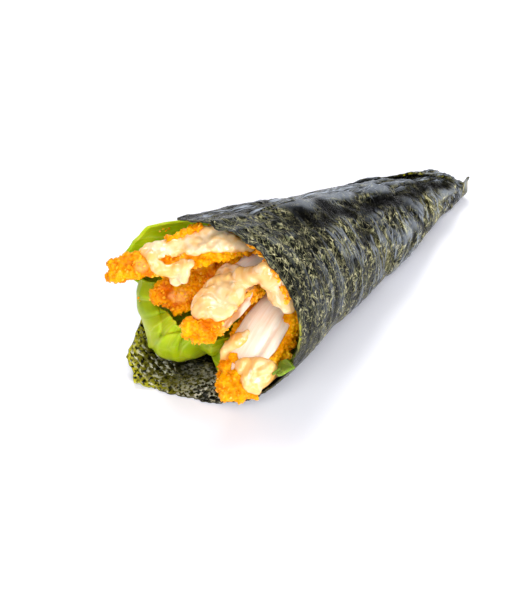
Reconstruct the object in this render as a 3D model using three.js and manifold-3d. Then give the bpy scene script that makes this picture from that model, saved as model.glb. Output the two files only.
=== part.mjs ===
// A hand roll lying on its side: one sheet of nori rolled into a cone round lettuce
// leaves and breaded chicken strips with a thick sauce. Millimetres, +Z up.
//
// The pieces are drawn round the point where the rolled cone would come to a tip:
// the tip is at the origin, the roll lies along -Y with its mouth at the far end, and
// the cone's lowest line rests on Z = 0. The finished group is then moved so that the
// part's own origin is in the middle of the space it takes up, on the table.

import * as THREE from "three";
import { mergeVertices } from "three/addons/utils/BufferGeometryUtils.js";
import Module from "manifold-3d";

// ---------------------------------------------------------------- driving dimensions

// The nori sheet, laid flat, in distances across and up from the point the cone is
// rolled round. Its top edge is the mouth, and it is 105 mm tall.
const SHEET_TOP = 128;
const SHEET_FOOT = 23;
const FLAP_CORNER = [-62.4, SHEET_TOP];    // the loose corner on the table
const OUTER_EDGE = [[-76, 96], [-66, 65], [-37, 30.5], [-23.6, 11]];  // the end edge, going down
const INNER_TOP_CORNER = [51, SHEET_TOP];  // the other top corner, tucked beside the lettuce
const INNER_FOOT_CORNER = [40, SHEET_FOOT];
const FOOT_ROUNDING = 38;                  // degrees of the flat sheet past which the foot is an arc
const NORI_THICKNESS = 0.7;
const NORI_TURN_STEP = 1.05;               // how far each turn lies inside the last one

const CONE_HALF_ANGLE = 11.8;              // degrees
const SQUASH = 0.87;                       // the roll's height against its width
const SHEET_MIDDLE = 103.3;                // where the sheet's middle line lies, degrees
const NORI_STEP = 7.5;                     // degrees between the sheet's creases
const NORI_ROWS = 11;
const SAG = 0.6;                           // the underside is pressed flat to this height
const REST_LEVEL = 0.3;                    // height of the spots it rests on
const HOLLOW = 0.12;                       // how far the rest of the underside stays off the table
const REST_SPOTS = [[-7, -130], [6, -126], [-4, -36], [2.8, -34]];  // across and along

// The roll's height against the squashed cone's own, at a few reaches from its point:
// the tip is pressed flat, and the half with no filling in it has sunk a little.
const SUNK = [[22, 0.4], [27, 0.72], [38, 0.86], [55, 0.93], [72, 0.945], [95, 1]];
const SUNK_SPREAD = 0.05;                  // how much wider the pressed tip gets

// The waves of the crumpled sheet, in the order along, across and slanting.
const CREASE_HEIGHTS = [0.22, 0.16, 0.1];
const CREASE_PITCHES = [0.21, 0.07, 0.16];  // radians for each millimetre of reach
const CREASE_TURNS = [2, 3, 5];            // swing of the first, and how often the others go round

const LEAF_THICKNESS = 1.0;
const LEAF_DEPTH = 2.6;                    // clear of the sheet's inner turns
const LEAF_HIDDEN_END = 66;                // reach at which the two upper leaves begin
const LEAF_UNDER_HIDDEN_END = 70;
const LEAF_ROOM_SPREAD = 1.04;             // a leaf's room goes this much past its own edges
const GAP = 0.3;                           // kept between pieces that touch

// The relief of a lump: [size of its bumps, share of the piece's roughness].
const RELIEF = [[3.2, 0.7], [1.7, 0.5]];
const SECTION_SQUARENESS = 2.6;            // 2 is an ellipse, more is squarer
const ROUNDED_END = 2;                     // the last millimetres of a lump look away from its end

const SAME_TURN = 1e-6;                    // degrees
const SAME_PLACE = 1e-4;                   // millimetres

// Where the cone's own point lies in the finished part's frame.
const POINT_X = 0.5;
const POINT_Y = 81.7;

// ---------------------------------------------------------------- small helpers

const wasm = await Module();
wasm.setup();

const degrees = THREE.MathUtils.degToRad;
const mix = THREE.MathUtils.lerp;
const ramp = THREE.MathUtils.smoothstep;   // (value, from, to)

// A value that follows a few [place, value] pairs, smoothly from one to the next.
function follow(pairs, place) {
  if (place <= pairs[0][0]) return pairs[0][1];
  for (let i = 1; i < pairs.length; i++) {
    const [from, low] = pairs[i - 1];
    const [to, high] = pairs[i];
    if (place <= to) return mix(low, high, ramp(place, from, to));
  }
  return pairs[pairs.length - 1][1];
}

// Repeatable lumps: random values on a cubic lattice, blended between its points.
function latticeValue(x, y, z, seed) {
  const wave = Math.sin(x * 127.1 + y * 311.7 + z * 74.7 + seed * 53.3) * 43758.5453;
  return 2 * (wave - Math.floor(wave)) - 1;
}

function lumps(point, size, seed) {
  const cell = point.clone().divideScalar(size);
  const corner = cell.clone().floor();
  const part = cell.sub(corner);
  const ease = (t) => t * t * (3 - 2 * t);
  let total = 0;
  for (let i = 0; i < 8; i++) {
    const [dx, dy, dz] = [i & 1, (i >> 1) & 1, i >> 2];
    const weight = (dx ? ease(part.x) : 1 - ease(part.x))
      * (dy ? ease(part.y) : 1 - ease(part.y))
      * (dz ? ease(part.z) : 1 - ease(part.z));
    total += weight * latticeValue(corner.x + dx, corner.y + dy, corner.z + dz, seed);
  }
  return total;
}

// ---------------------------------------------------------------- the cone

// Shallow creases and dents of the rolled sheet, the same on every turn.
function creases(reach, turn) {
  const round = degrees(turn);
  const [along, across, slanting] = CREASE_PITCHES.map((pitch) => reach * pitch);
  return CREASE_HEIGHTS[0] * Math.sin(along + CREASE_TURNS[0] * Math.sin(round + 0.4))
    + CREASE_HEIGHTS[1] * Math.sin(CREASE_TURNS[1] * round + across)
    + CREASE_HEIGHTS[2] * Math.sin(CREASE_TURNS[2] * round - slanting + 1.3);
}

// A point of the cone: reach is the distance from its point, turn the angle round it
// in degrees, from the lowest line towards +X.
function conePoint(reach, turn) {
  const half = degrees(CONE_HALF_ANGLE);
  const round = degrees(turn);
  const axisLength = reach * Math.cos(half);
  const radius = reach * Math.sin(half) + creases(reach, turn);
  const flat = follow(SUNK, reach);
  const wide = 1 + SUNK_SPREAD * (1 - flat);
  const across = radius * Math.sin(round) * wide;
  const drop = radius * Math.cos(round);
  const along = -axisLength * Math.cos(half) - drop * Math.sin(half);
  const rise = axisLength * Math.sin(half) - drop * Math.cos(half);
  return new THREE.Vector3(across, along, Math.max(rise * SQUASH * flat, SAG));
}

function coneNormal(reach, turn) {
  const alongStep = conePoint(reach + 1, turn).sub(conePoint(reach - 1, turn));
  const roundStep = conePoint(reach, turn + 2).sub(conePoint(reach, turn - 2));
  return roundStep.cross(alongStep).normalize();
}

// A point at a depth under the cone's surface.
function insideCone(reach, turn, depth) {
  return conePoint(reach, turn).addScaledVector(coneNormal(reach, turn), -depth);
}

// ---------------------------------------------------------------- solids

// A thin sheet between two faces that are split into triangles alike. place(u, v)
// gives the middle surface and facing(u, v) the way its outer face looks.
function thinSheet(columns, rows, thickness, place, facing) {
  const grid = new THREE.PlaneGeometry(1, 1, columns, rows);
  const spots = grid.attributes.position;
  const corners = [];
  for (const side of [0.5, -0.5]) {
    for (let i = 0; i < spots.count; i++) {
      const u = spots.getX(i) + 0.5;
      const v = spots.getY(i) + 0.5;
      corners.push(...place(u, v).addScaledVector(facing(u, v), side * thickness).toArray());
    }
  }
  const under = spots.count;
  const faces = [];
  for (let i = 0; i < grid.index.count; i += 3) {
    const [a, b, c] = [grid.index.getX(i), grid.index.getX(i + 1), grid.index.getX(i + 2)];
    faces.push(a, b, c, under + a, under + c, under + b);
  }
  const wide = columns + 1;
  const border = [];
  for (let i = 0; i < columns; i++) border.push(i);
  for (let i = 0; i < rows; i++) border.push(i * wide + columns);
  for (let i = columns; i > 0; i--) border.push(rows * wide + i);
  for (let i = rows; i > 0; i--) border.push(i * wide);
  border.forEach((a, i) => {
    const b = border[(i + 1) % border.length];
    faces.push(a, b, under + b, a, under + b, under + a);
  });
  const geometry = new THREE.BufferGeometry();
  geometry.setAttribute("position", new THREE.Float32BufferAttribute(corners, 3));
  geometry.setIndex(faces);
  return geometry;
}

// A long lump drawn along a smooth path: widths and heights are half sizes given as
// [place along it, size] pairs, up is the way its broad face looks, and bluntness says
// how square its ends and its section are.
function lump({ path, widths, heights, up, rings, sides, blunt, rough, seed, grow = 0 }) {
  const curve = new THREE.CatmullRomCurve3(path.map((p) => new THREE.Vector3(...p)));
  const geometry = new THREE.SphereGeometry(1, sides, rings);
  const spots = geometry.attributes.position;
  const length = curve.getLength();
  for (let i = 0; i < spots.count; i++) {
    const ball = new THREE.Vector3().fromBufferAttribute(spots, i);
    const round = Math.atan2(ball.z, ball.x);
    const end = THREE.MathUtils.clamp(ball.y, -1, 1);
    const place = (1 + end) / 2;
    const girth = Math.pow(Math.max(0, 1 - Math.pow(Math.abs(end), blunt)), 1 / blunt);
    const forward = curve.getTangentAt(place);
    const side = forward.clone().cross(new THREE.Vector3(...up)).normalize();
    const top = side.clone().cross(forward).normalize();
    const square = (value) => Math.sign(value) * Math.pow(Math.abs(value), 2 / SECTION_SQUARENESS);
    const point = curve.getPointAt(place);
    point.addScaledVector(side, square(Math.cos(round)) * girth * follow(widths, place));
    point.addScaledVector(top, square(Math.sin(round)) * girth * follow(heights, place));
    const margin = ROUNDED_END / length;
    const middle = curve.getPointAt(THREE.MathUtils.clamp(place, margin, 1 - margin));
    const outward = point.clone().sub(middle).normalize();
    const [coarse, fine] = RELIEF.map(([size, share], k) => share * lumps(point, size, seed + k));
    point.addScaledVector(outward, rough * (coarse + fine) + grow);
    spots.setXYZ(i, point.x, point.y, point.z);
  }
  geometry.deleteAttribute("normal");
  geometry.deleteAttribute("uv");
  return mergeVertices(geometry, SAME_PLACE);
}

function toSolid(geometry) {
  return new wasm.Manifold(new wasm.Mesh({
    numProp: 3,
    vertProperties: new Float32Array(geometry.attributes.position.array),
    triVerts: new Uint32Array(geometry.index.array),
  }));
}

// Cuts the neighbours away, and keeps the largest body of what is left.
function cutBy(geometry, neighbours) {
  let solid = toSolid(geometry);
  for (const neighbour of neighbours) solid = solid.subtract(toSolid(neighbour));
  const bodies = solid.decompose().sort((a, b) => b.volume() - a.volume());
  const mesh = bodies[0].getMesh();
  const result = new THREE.BufferGeometry();
  result.setAttribute("position", new THREE.BufferAttribute(mesh.vertProperties, 3));
  result.setIndex(new THREE.BufferAttribute(mesh.triVerts, 1));
  return result;
}

// ---------------------------------------------------------------- the nori sheet

// How the flat sheet wraps: a point across and up from the cone's point becomes a
// reach and a turn.
const perTurn = Math.sin(degrees(CONE_HALF_ANGLE));
const turnOf = ([across, up]) => SHEET_MIDDLE
  + THREE.MathUtils.radToDeg(Math.atan2(across, up)) / perTurn;

// Where the line of sight from the cone's point at a turn leaves the sheet through
// the edge between two points of its flat outline.
function edgeReach(turn, from, to) {
  const angle = degrees((turn - SHEET_MIDDLE) * perTurn);
  const [sx, sy] = [Math.sin(angle), Math.cos(angle)];
  const [ex, ey] = [to[0] - from[0], to[1] - from[1]];
  return (from[0] * ey - from[1] * ex) / (sx * ey - sy * ex);
}

function sheetLimits(turn) {
  const outline = [...OUTER_EDGE].reverse().concat([FLAP_CORNER, INNER_TOP_CORNER, INNER_FOOT_CORNER]);
  let far = 0;
  for (let i = 1; i < outline.length; i++) {
    const [from, to] = [outline[i - 1], outline[i]];
    if (turn >= turnOf(from) - SAME_TURN && turn <= turnOf(to) + SAME_TURN) {
      far = Math.max(far, edgeReach(turn, from, to));
    }
  }
  const angle = Math.abs(turn - SHEET_MIDDLE) * perTurn;
  const near = SHEET_FOOT / Math.cos(degrees(Math.min(angle, FOOT_ROUNDING)));
  return [near, Math.max(far, near + 2)];
}

// The depth of the sheet's middle under the cone's surface: each turn lies inside
// the one before it.
const noriDepth = (turn) => NORI_THICKNESS / 2
  + NORI_TURN_STEP * (turn - SHEET_MIDDLE) / 360;

function noriSheet(thickness) {
  const first = turnOf(FLAP_CORNER);
  const before = Math.floor((first - turnOf(OUTER_EDGE.at(-1))) / NORI_STEP);
  const after = Math.floor((turnOf(INNER_FOOT_CORNER) - first) / NORI_STEP);
  const turnAt = (u) => first + NORI_STEP * mix(-before, after, u);
  const reachAt = (turn, v) => {
    const [near, far] = sheetLimits(turn);
    return mix(near, far, v);
  };
  const place = (u, v) => {
    const turn = turnAt(u);
    return insideCone(reachAt(turn, v), turn, noriDepth(turn));
  };
  const facing = (u, v) => {
    const turn = turnAt(u);
    return coneNormal(reachAt(turn, v), turn);
  };
  const geometry = thinSheet(before + after, NORI_ROWS, thickness, place, facing);
  const spots = geometry.attributes.position;
  const low = [];
  for (let i = 0; i < spots.count; i++) {
    if (spots.getZ(i) > REST_LEVEL + HOLLOW) continue;
    spots.setZ(i, REST_LEVEL + HOLLOW);
    low.push(i);
  }
  for (const [x, y] of REST_SPOTS) {
    const away = (i) => Math.hypot(spots.getX(i) - x, spots.getY(i) - y);
    spots.setZ(low.reduce((a, b) => (away(a) < away(b) ? a : b)), REST_LEVEL);
  }
  return geometry;
}

// ---------------------------------------------------------------- the lettuce

// A leaf that lines the cone: reach and depth under the cone are functions of the
// turn and of t, which runs from its hidden end to its open edge.
function leaf({ turns, reach, depth, columns, rows }, thickness, spread = 1) {
  const at = (u, v) => {
    const turn = mix(turns[0], turns[1], 0.5 + (u - 0.5) * spread);
    const t = 0.5 + (v - 0.5) * spread;
    return insideCone(reach(turn, t), turn, depth(turn, t));
  };
  const facing = (u, v) => {
    const step = 0.02;
    const across = at(Math.min(u + step, 1), v).sub(at(Math.max(u - step, 0), v));
    const along = at(u, Math.min(v + step, 1)).sub(at(u, Math.max(v - step, 0)));
    return across.cross(along).normalize();
  };
  return thinSheet(columns, rows, thickness, at, facing);
}

// The room a leaf takes up with its gaps, cut out of what lies against it.
const leafRoom = (piece) => leaf(piece, LEAF_THICKNESS + 2 * GAP, LEAF_ROOM_SPREAD);

// The open edge of each leaf: [turn, reach] and [turn, depth under the cone].
const BACK_EDGE = [[214, 126], [240, 130], [262, 133.5], [287, 129]];
const BACK_EDGE_DEPTH = [[214, 2.6], [228, 2.2], [242, 0.5], [262, 0.2], [276, 1.4], [287, 1.8]];
const FRONT_EDGE = [[289, 131], [302, 133], [318, 134], [330, 133.5], [342, 130], [366, 120]];
const FRONT_LIP = [[289, 2.5], [310, 7], [332, 10], [350, 9], [366, 4]];  // how far its lip folds in
const FRONT_LIP_BACK = 1.6;                // how far the lip falls back towards the roll
const UNDER_EDGE = [[369, 124], [395, 119], [425, 126]];

const LETTUCE_BACK = {
  turns: [214, 287],
  columns: 16,
  rows: 14,
  reach: (turn, t) => mix(LEAF_HIDDEN_END, follow(BACK_EDGE, turn), t),
  depth: (turn, t) => mix(LEAF_DEPTH, follow(BACK_EDGE_DEPTH, turn), ramp(t, 0.5, 0.95))
    + 0.3 * Math.sin(turn * 0.16 + t * 5) * ramp(t, 0.3, 0.9),
};

const LETTUCE_FRONT = {
  turns: [289, 366],
  columns: 20,
  rows: 18,
  reach: (turn, t) => mix(LEAF_HIDDEN_END, follow(FRONT_EDGE, turn), ramp(t, -0.45, 0.72))
    - FRONT_LIP_BACK * ramp(t, 0.8, 1),
  depth: (turn, t) => mix(LEAF_DEPTH, 1.6, ramp(t, 0.3, 0.6)) + follow(FRONT_LIP, turn) * ramp(t, 0.6, 1)
    + 0.5 * Math.sin(turn * 0.2 + t * 4) * ramp(t, 0.5, 0.9),
};

const LETTUCE_UNDER = {
  turns: [369, 425],
  columns: 14,
  rows: 12,
  reach: (turn, t) => mix(LEAF_UNDER_HIDDEN_END, follow(UNDER_EDGE, turn), t),
  depth: (turn, t) => mix(LEAF_DEPTH, 1.7, ramp(t, 0.5, 1)) + 0.4 * (1 + Math.sin(turn * 0.25 + t * 3)),
};

// ---------------------------------------------------------------- the filling

const STRIP = { rings: 24, sides: 18, blunt: 5, rough: 0.8 };

const CHICKEN_TOP = {
  ...STRIP,
  path: [[0, -64, 17.2], [-0.5, -90, 27.4], [-2.5, -115, 36], [-11, -128.5, 34.6], [-21, -141, 32]],
  widths: [[0, 4.2], [0.5, 6], [0.75, 5.6], [0.92, 4.8], [1, 4]],
  heights: [[0, 2], [0.6, 2.8], [0.85, 2.7], [1, 2.4]],
  up: [0.25, -0.25, 1],
  seed: 11,
};

const CHICKEN_LEFT = {
  ...STRIP,
  path: [[-4.5, -66, 12], [-6, -90, 17.5], [-8.5, -113, 25], [-15.5, -133, 21]],
  widths: [[0, 3.8], [0.6, 6.2], [1, 5.2]],
  heights: [[0, 2.8], [0.6, 4], [1, 3.2]],
  up: [0.2, -0.2, 1],
  seed: 23,
};

const CHICKEN_MIDDLE = {
  ...STRIP,
  path: [[4.5, -66, 13.5], [5, -90, 21.5], [3.5, -113, 28.8], [7, -138, 26]],
  widths: [[0, 3.8], [0.5, 5.8], [0.85, 6], [1, 6]],
  heights: [[0, 2.8], [0.6, 4.2], [0.9, 4.4], [1, 4]],
  up: [0.2, -0.1, 1],
  seed: 37,
};

const CHICKEN_RIGHT = {
  ...STRIP,
  path: [[4.5, -68, 7.5], [8.5, -92, 13.5], [12, -111, 20.5], [13, -134.8, 7.8]],
  widths: [[0, 4], [0.55, 6.6], [0.8, 8.4], [1, 7]],
  heights: [[0, 2.8], [0.6, 4.6], [1, 4]],
  up: [0.05, -0.4, 0.9],
  seed: 41,
};

const SAUCE = { rings: 14, sides: 16, blunt: 2.6, rough: 0.5 };

const SAUCE_TOP = {
  ...SAUCE,
  path: [[-1, -108, 38], [-4.5, -118.5, 38.2], [-12, -128.5, 37.2], [-18.5, -137.5, 35]],
  widths: [[0, 5.2], [0.5, 5.4], [1, 4.4]],
  heights: [[0, 1.6], [0.5, 2], [1, 1.8]],
  up: [0.25, -0.25, 1],
  seed: 5,
};

const SAUCE_MIDDLE = {
  ...SAUCE,
  path: [[20, -115, 23.5], [17.5, -116, 30], [10, -119, 33], [5.6, -128.5, 31.5], [5, -136.5, 29.2]],
  widths: [[0, 4], [0.4, 5.4], [0.8, 6.2], [1, 5.2]],
  heights: [[0, 2.4], [0.5, 2.6], [1, 2.2]],
  up: [0.5, -0.2, 1],
  seed: 7,
};

const SAUCE_RIGHT = {
  ...SAUCE,
  path: [[22.5, -126, 15.5], [19.5, -130.5, 15.5], [16, -134.5, 12.5]],
  widths: [[0, 3.5], [0.5, 5], [1, 3.5]],
  heights: [[0, 2], [0.5, 3], [1, 2]],
  up: [0.2, -0.5, 0.85],
  seed: 9,
};

// ---------------------------------------------------------------- the assembly

const NORI_FINISH = new THREE.MeshStandardMaterial({ color: 0x22281c, roughness: 0.45 });
const LETTUCE_FINISH = new THREE.MeshStandardMaterial({ color: 0x8fc21e, roughness: 0.4 });
const CRUST_FINISH = new THREE.MeshStandardMaterial({ color: 0xe39a2c, roughness: 0.75 });
const SAUCE_FINISH = new THREE.MeshStandardMaterial({ color: 0xf6cf9e, roughness: 0.25 });

const roll = new THREE.Group();
roll.position.set(POINT_X, POINT_Y, -REST_LEVEL);

function add(name, geometry, material) {
  const mesh = new THREE.Mesh(geometry, material);
  mesh.name = name;
  roll.add(mesh);
}

const grown = (piece) => lump({ ...piece, grow: GAP });
const around = [LETTUCE_BACK, LETTUCE_FRONT, LETTUCE_UNDER].map(leafRoom);
around.push(noriSheet(NORI_THICKNESS + 2 * GAP));

const chickenRight = cutBy(lump(CHICKEN_RIGHT), around);
const chickenLeft = cutBy(lump(CHICKEN_LEFT), [...around, grown(CHICKEN_RIGHT)]);
const chickenMiddle = cutBy(lump(CHICKEN_MIDDLE), [...around, grown(CHICKEN_RIGHT), grown(CHICKEN_LEFT)]);
const stripRoom = [CHICKEN_RIGHT, CHICKEN_LEFT, CHICKEN_MIDDLE].map(grown);
const chickenTop = cutBy(lump(CHICKEN_TOP), [...around, ...stripRoom]);
const fillingRoom = [...around, ...stripRoom, grown(CHICKEN_TOP)];

add("nori_sheet", noriSheet(NORI_THICKNESS), NORI_FINISH);
add("lettuce_back", leaf(LETTUCE_BACK, LEAF_THICKNESS), LETTUCE_FINISH);
add("lettuce_front", leaf(LETTUCE_FRONT, LEAF_THICKNESS), LETTUCE_FINISH);
add("lettuce_under", leaf(LETTUCE_UNDER, LEAF_THICKNESS), LETTUCE_FINISH);
add("chicken_right", chickenRight, CRUST_FINISH);
add("chicken_left", chickenLeft, CRUST_FINISH);
add("chicken_middle", chickenMiddle, CRUST_FINISH);
add("chicken_top", chickenTop, CRUST_FINISH);
add("sauce_top", cutBy(lump(SAUCE_TOP), fillingRoom), SAUCE_FINISH);
add("sauce_middle", cutBy(lump(SAUCE_MIDDLE), fillingRoom), SAUCE_FINISH);
add("sauce_right", cutBy(lump(SAUCE_RIGHT), fillingRoom), SAUCE_FINISH);

export default roll;
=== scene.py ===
# A hand roll on a white table: a sheet of nori rolled into a cone round lettuce leaves
# and breaded chicken strips, with a thick pale orange sauce spooned over them.
#
# Pieces are drawn in millimetres from the point where the rolled cone would come to a
# tip. The roll lies along -Y from there, so its mouth is furthest away. They are then
# put in the part's own frame, in metres.

import math

import bpy
import numpy as np
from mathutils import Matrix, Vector
from mathutils.bvhtree import BVHTree


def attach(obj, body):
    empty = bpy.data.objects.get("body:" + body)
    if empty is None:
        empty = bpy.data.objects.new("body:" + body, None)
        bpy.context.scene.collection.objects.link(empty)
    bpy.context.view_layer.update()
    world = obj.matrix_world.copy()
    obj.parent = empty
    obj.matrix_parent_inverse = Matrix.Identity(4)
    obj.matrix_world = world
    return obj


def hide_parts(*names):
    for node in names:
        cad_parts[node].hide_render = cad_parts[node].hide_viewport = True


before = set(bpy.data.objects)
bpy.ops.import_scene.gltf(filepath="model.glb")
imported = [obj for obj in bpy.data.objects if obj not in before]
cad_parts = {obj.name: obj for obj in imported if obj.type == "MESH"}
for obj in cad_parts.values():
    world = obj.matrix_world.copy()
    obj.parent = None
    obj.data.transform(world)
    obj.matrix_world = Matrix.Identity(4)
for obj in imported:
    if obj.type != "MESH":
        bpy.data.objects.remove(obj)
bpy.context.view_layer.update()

MM = 0.001
CONE_POINT = np.array((0.5, 81.7, -0.3))    # the cone's own point in the part's frame

# ---------------------------------------------------------------- driving dimensions

# The nori sheet laid flat, in distances across and up from the point it is rolled round.
SHEET_TOP = 128.0
SHEET_FOOT = 23.0
FLAP_CORNER = (-62.4, SHEET_TOP)
FLAP_SIDE = (-67.6, 122)                    # where the loose corner bulges to the left
FLAP_NECK = ((-69.7, 109.1), (-68.4, 114.1))     # and where it leaves the rolled part
OUTER_EDGE = ((-76, 96), (-66, 65), (-37, 30.5), (-23.6, 11))
INNER_TOP_CORNER = (47.6, SHEET_TOP)
INNER_FOOT_CORNER = (40, SHEET_FOOT)
SHEET_OUTLINE = (*reversed(OUTER_EDGE), *FLAP_NECK, FLAP_SIDE, FLAP_CORNER,
                 INNER_TOP_CORNER, INNER_FOOT_CORNER)
FOOT_ROUNDING = 38.0                        # the foot is an arc past this angle
NORI_THICKNESS = 0.35
NORI_TURN_STEP = 1.05                       # how much further in each turn lies
NORI_ROWS = 210
NORI_KEPT = 0.5                             # the share of its triangles that is kept
FLAP_ROW_STEP = 1.8                         # between the rows of bumps on the loose corner
TIP_CORNER = np.array((0.4, -0.5, 4.4))     # how far the corner at the tip stands up

# The rolled cone.
CONE_HALF_ANGLE = math.radians(11.8)
CONE_COS, CONE_SIN = math.cos(CONE_HALF_ANGLE), math.sin(CONE_HALF_ANGLE)
SQUASH = 0.87                               # its height, as a share of its width
SHEET_MIDDLE = 103.3                        # the turn at which the sheet's middle lies
SAG = 0.6                                   # its skin lies no lower than this
REST_LEVEL = 0.3                            # and this is the table's top
# How much of its height it keeps at each reach, and how much that spreads it.
SUNK = ((22, 0.4), (27, 0.72), (38, 0.86), (55, 0.93), (72, 0.945), (95, 1))
SUNK_SPREAD = 0.05

# Relief of the sheet: streaks round the roll (size, bend, height, seed), creases along
# its top (size, height, seed), and crinkles everywhere (height, size, seed).
STREAKS = ((7.0, 1.2, 0.60, 1), (3.8, 1.7, 0.50, 2), (2.0, 2.4, 0.28, 3))
TOP_CREASES = ((0.16, 0.36, 5), (0.08, 0.22, 6))
CRINKLES = ((0.16, 3.2, 7), (0.14, 1.8, 8), (0.08, 1.0, 9))

# The leaves. An edge is (turn, reach) of the open side, and a lift is (turn, how far it
# lies inside the cone).
LEAF_DEPTH = 2.6                            # where the hidden end lies
LEAF_START = 66
LEAF_THICKNESS = 0.7
BACK_EDGE = ((196, 98), (222, 102), (228, 112), (233, 128), (240, 132), (246, 132.4),
             (252, 133), (262, 134.4), (272, 134), (287, 130))
BACK_LIFT = ((196, 1.6), (214, 1.6), (228, 1.2), (242, -0.4), (262, -0.4), (276, 1.0),
             (287, 1.8))
FRONT_EDGE = ((276, 131), (289, 132.5), (302, 134), (322, 136), (332, 136.5), (342, 134.5),
              (350, 131.5), (356, 128), (363, 127.5), (369, 121))
FRONT_LIFT = ((276, 1.2), (334, 1.2), (346, 2.6), (357, 5.2), (369, 8.6))
LIP_START = 0.5                             # where along the front leaf its lip begins
LIP_TURN = math.radians(150)
LIP_RADIUS = ((276, 3.6), (290, 5.0), (305, 6.6), (318, 8.0), (330, 8.6), (345, 8.0),
              (356, 6.4), (364, 3.0), (369, 1.6))
UNDER_START = 70
UNDER_EDGE = ((371, 122), (395, 119), (412, 124), (424, 129.5), (430, 129))
# Folds of a leaf: (line in the camera's view, how wide there, how deep in millimetres).
FOLDS = ((((147, 348), (156, 338), (165, 331), (180, 328), (192, 331), (199, 340)), 3.5, 1.6),
         (((157, 288), (160, 303), (164, 318), (165, 331)), 3.0, 1.0))
# Where a leaf shows between two strips, and its corner beside the right one: rows of
# (px, py, distance along the roll).
TONGUES = {
    "lettuce_front": (((204, 334, 123), (213, 335, 123), (223, 334, 123)),
                      ((206, 342, 124), (214, 344, 124.5), (224, 342, 124)),
                      ((210, 352, 125), (217, 354, 125.5), (226, 353, 125)),
                      ((214, 362, 126), (221, 364, 126.5), (229, 363, 126)),
                      ((219, 371, 126.5), (224, 373, 127), (230, 372, 126.5))),
    "lettuce_under": (((281, 361, 123), (284, 360, 123.4), (286, 359, 123.5)),
                      ((278, 366, 124), (284, 364, 124), (290, 363, 124.2)),
                      ((277, 371, 125), (285, 369, 125), (295, 367, 124.6)),
                      ((278, 376, 126.5), (281, 375, 126.5), (285, 372, 126))),
}

# The chicken strips: widths and heights are half sizes at places from 0 at the hidden end
# to 1, and up is the way the broad face looks.
STRIPS = {
    "top": dict(
        path=((0, -64, 17.2), (-0.5, -90, 28.2), (-2.5, -115, 37.1), (-11, -128.5, 35.4),
              (-20.4, -140.2, 32)),
        widths=((0, 4.2), (0.5, 6), (0.75, 5.2), (0.92, 4), (1, 2.8)),
        heights=((0, 2), (0.5, 1.1), (0.8, 1.2), (0.9, 2.0), (1, 1.8)),
        up=(0.25, -0.25, 1)),
    "left": dict(
        path=((-4.5, -66, 12), (-6, -90, 16.2), (-8.5, -113, 22.9), (-15, -131.5, 21.0)),
        widths=((0, 3.8), (0.6, 6.2), (0.88, 5.2), (0.96, 4), (1, 2.4)),
        heights=((0, 2.8), (0.6, 4), (0.9, 3), (1, 1.8)),
        up=(0.2, -0.2, 1)),
    "middle": dict(
        path=((4.5, -66, 13.5), (5, -90, 21.5), (3.5, -113, 28.8), (6.6, -136.5, 26)),
        widths=((0, 3.8), (0.5, 5.8), (0.85, 6), (1, 5)),
        heights=((0, 2.8), (0.6, 4.2), (0.9, 4.2), (1, 3.4)),
        up=(0.2, -0.1, 1)),
    "right": dict(
        path=((4.5, -68, 7.5), (8.5, -92, 13.5), (12, -111, 20.5), (13, -134, 8)),
        widths=((0, 4), (0.55, 6.6), (0.8, 8), (1, 5.8)),
        heights=((0, 2.8), (0.6, 4.4), (1, 3.4)),
        up=(0.05, -0.4, 0.9)),
}
STRIP_BLUNT = 5                             # how blunt a strip's ends are
STRIP_SQUARE = 2 / 2.6                      # how square it is across
SPINE_POINTS = 200                          # along its middle line
CRUST_MESH, MEAT_MESH = (64, 96), (96, 120)      # how many sides and rings
VOXEL = 0.3                                 # how finely crusts and sauces are melted together
CRUST_ROOM, MEAT_ROOM, SAUCE_ROOM = 1.0, 1.2, 1.0     # the least left for the sheet outside

# Where the coating is torn off and the meat shows: places along the strip, and degrees
# round it, from its -X side over the top.
BARE = {"middle": (((0.56, 0.78), (40, 150)), ((0.78, 0.95), (138, 228))),
        "right": (((0.50, 0.93), (25, 116)), ((0.70, 0.93), (60, 152)))}
BARE_DEPTH = 1.9                            # how thick the coating was there
BARE_SOFTNESS = 0.02
MEAT_DEPTH = 0.55
COATED_DEPTH = 1.9                          # how much deeper the meat lies under its coating
GROOVE = (112, 7, 0.8)                      # turn, width and depth beside the coating

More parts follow.
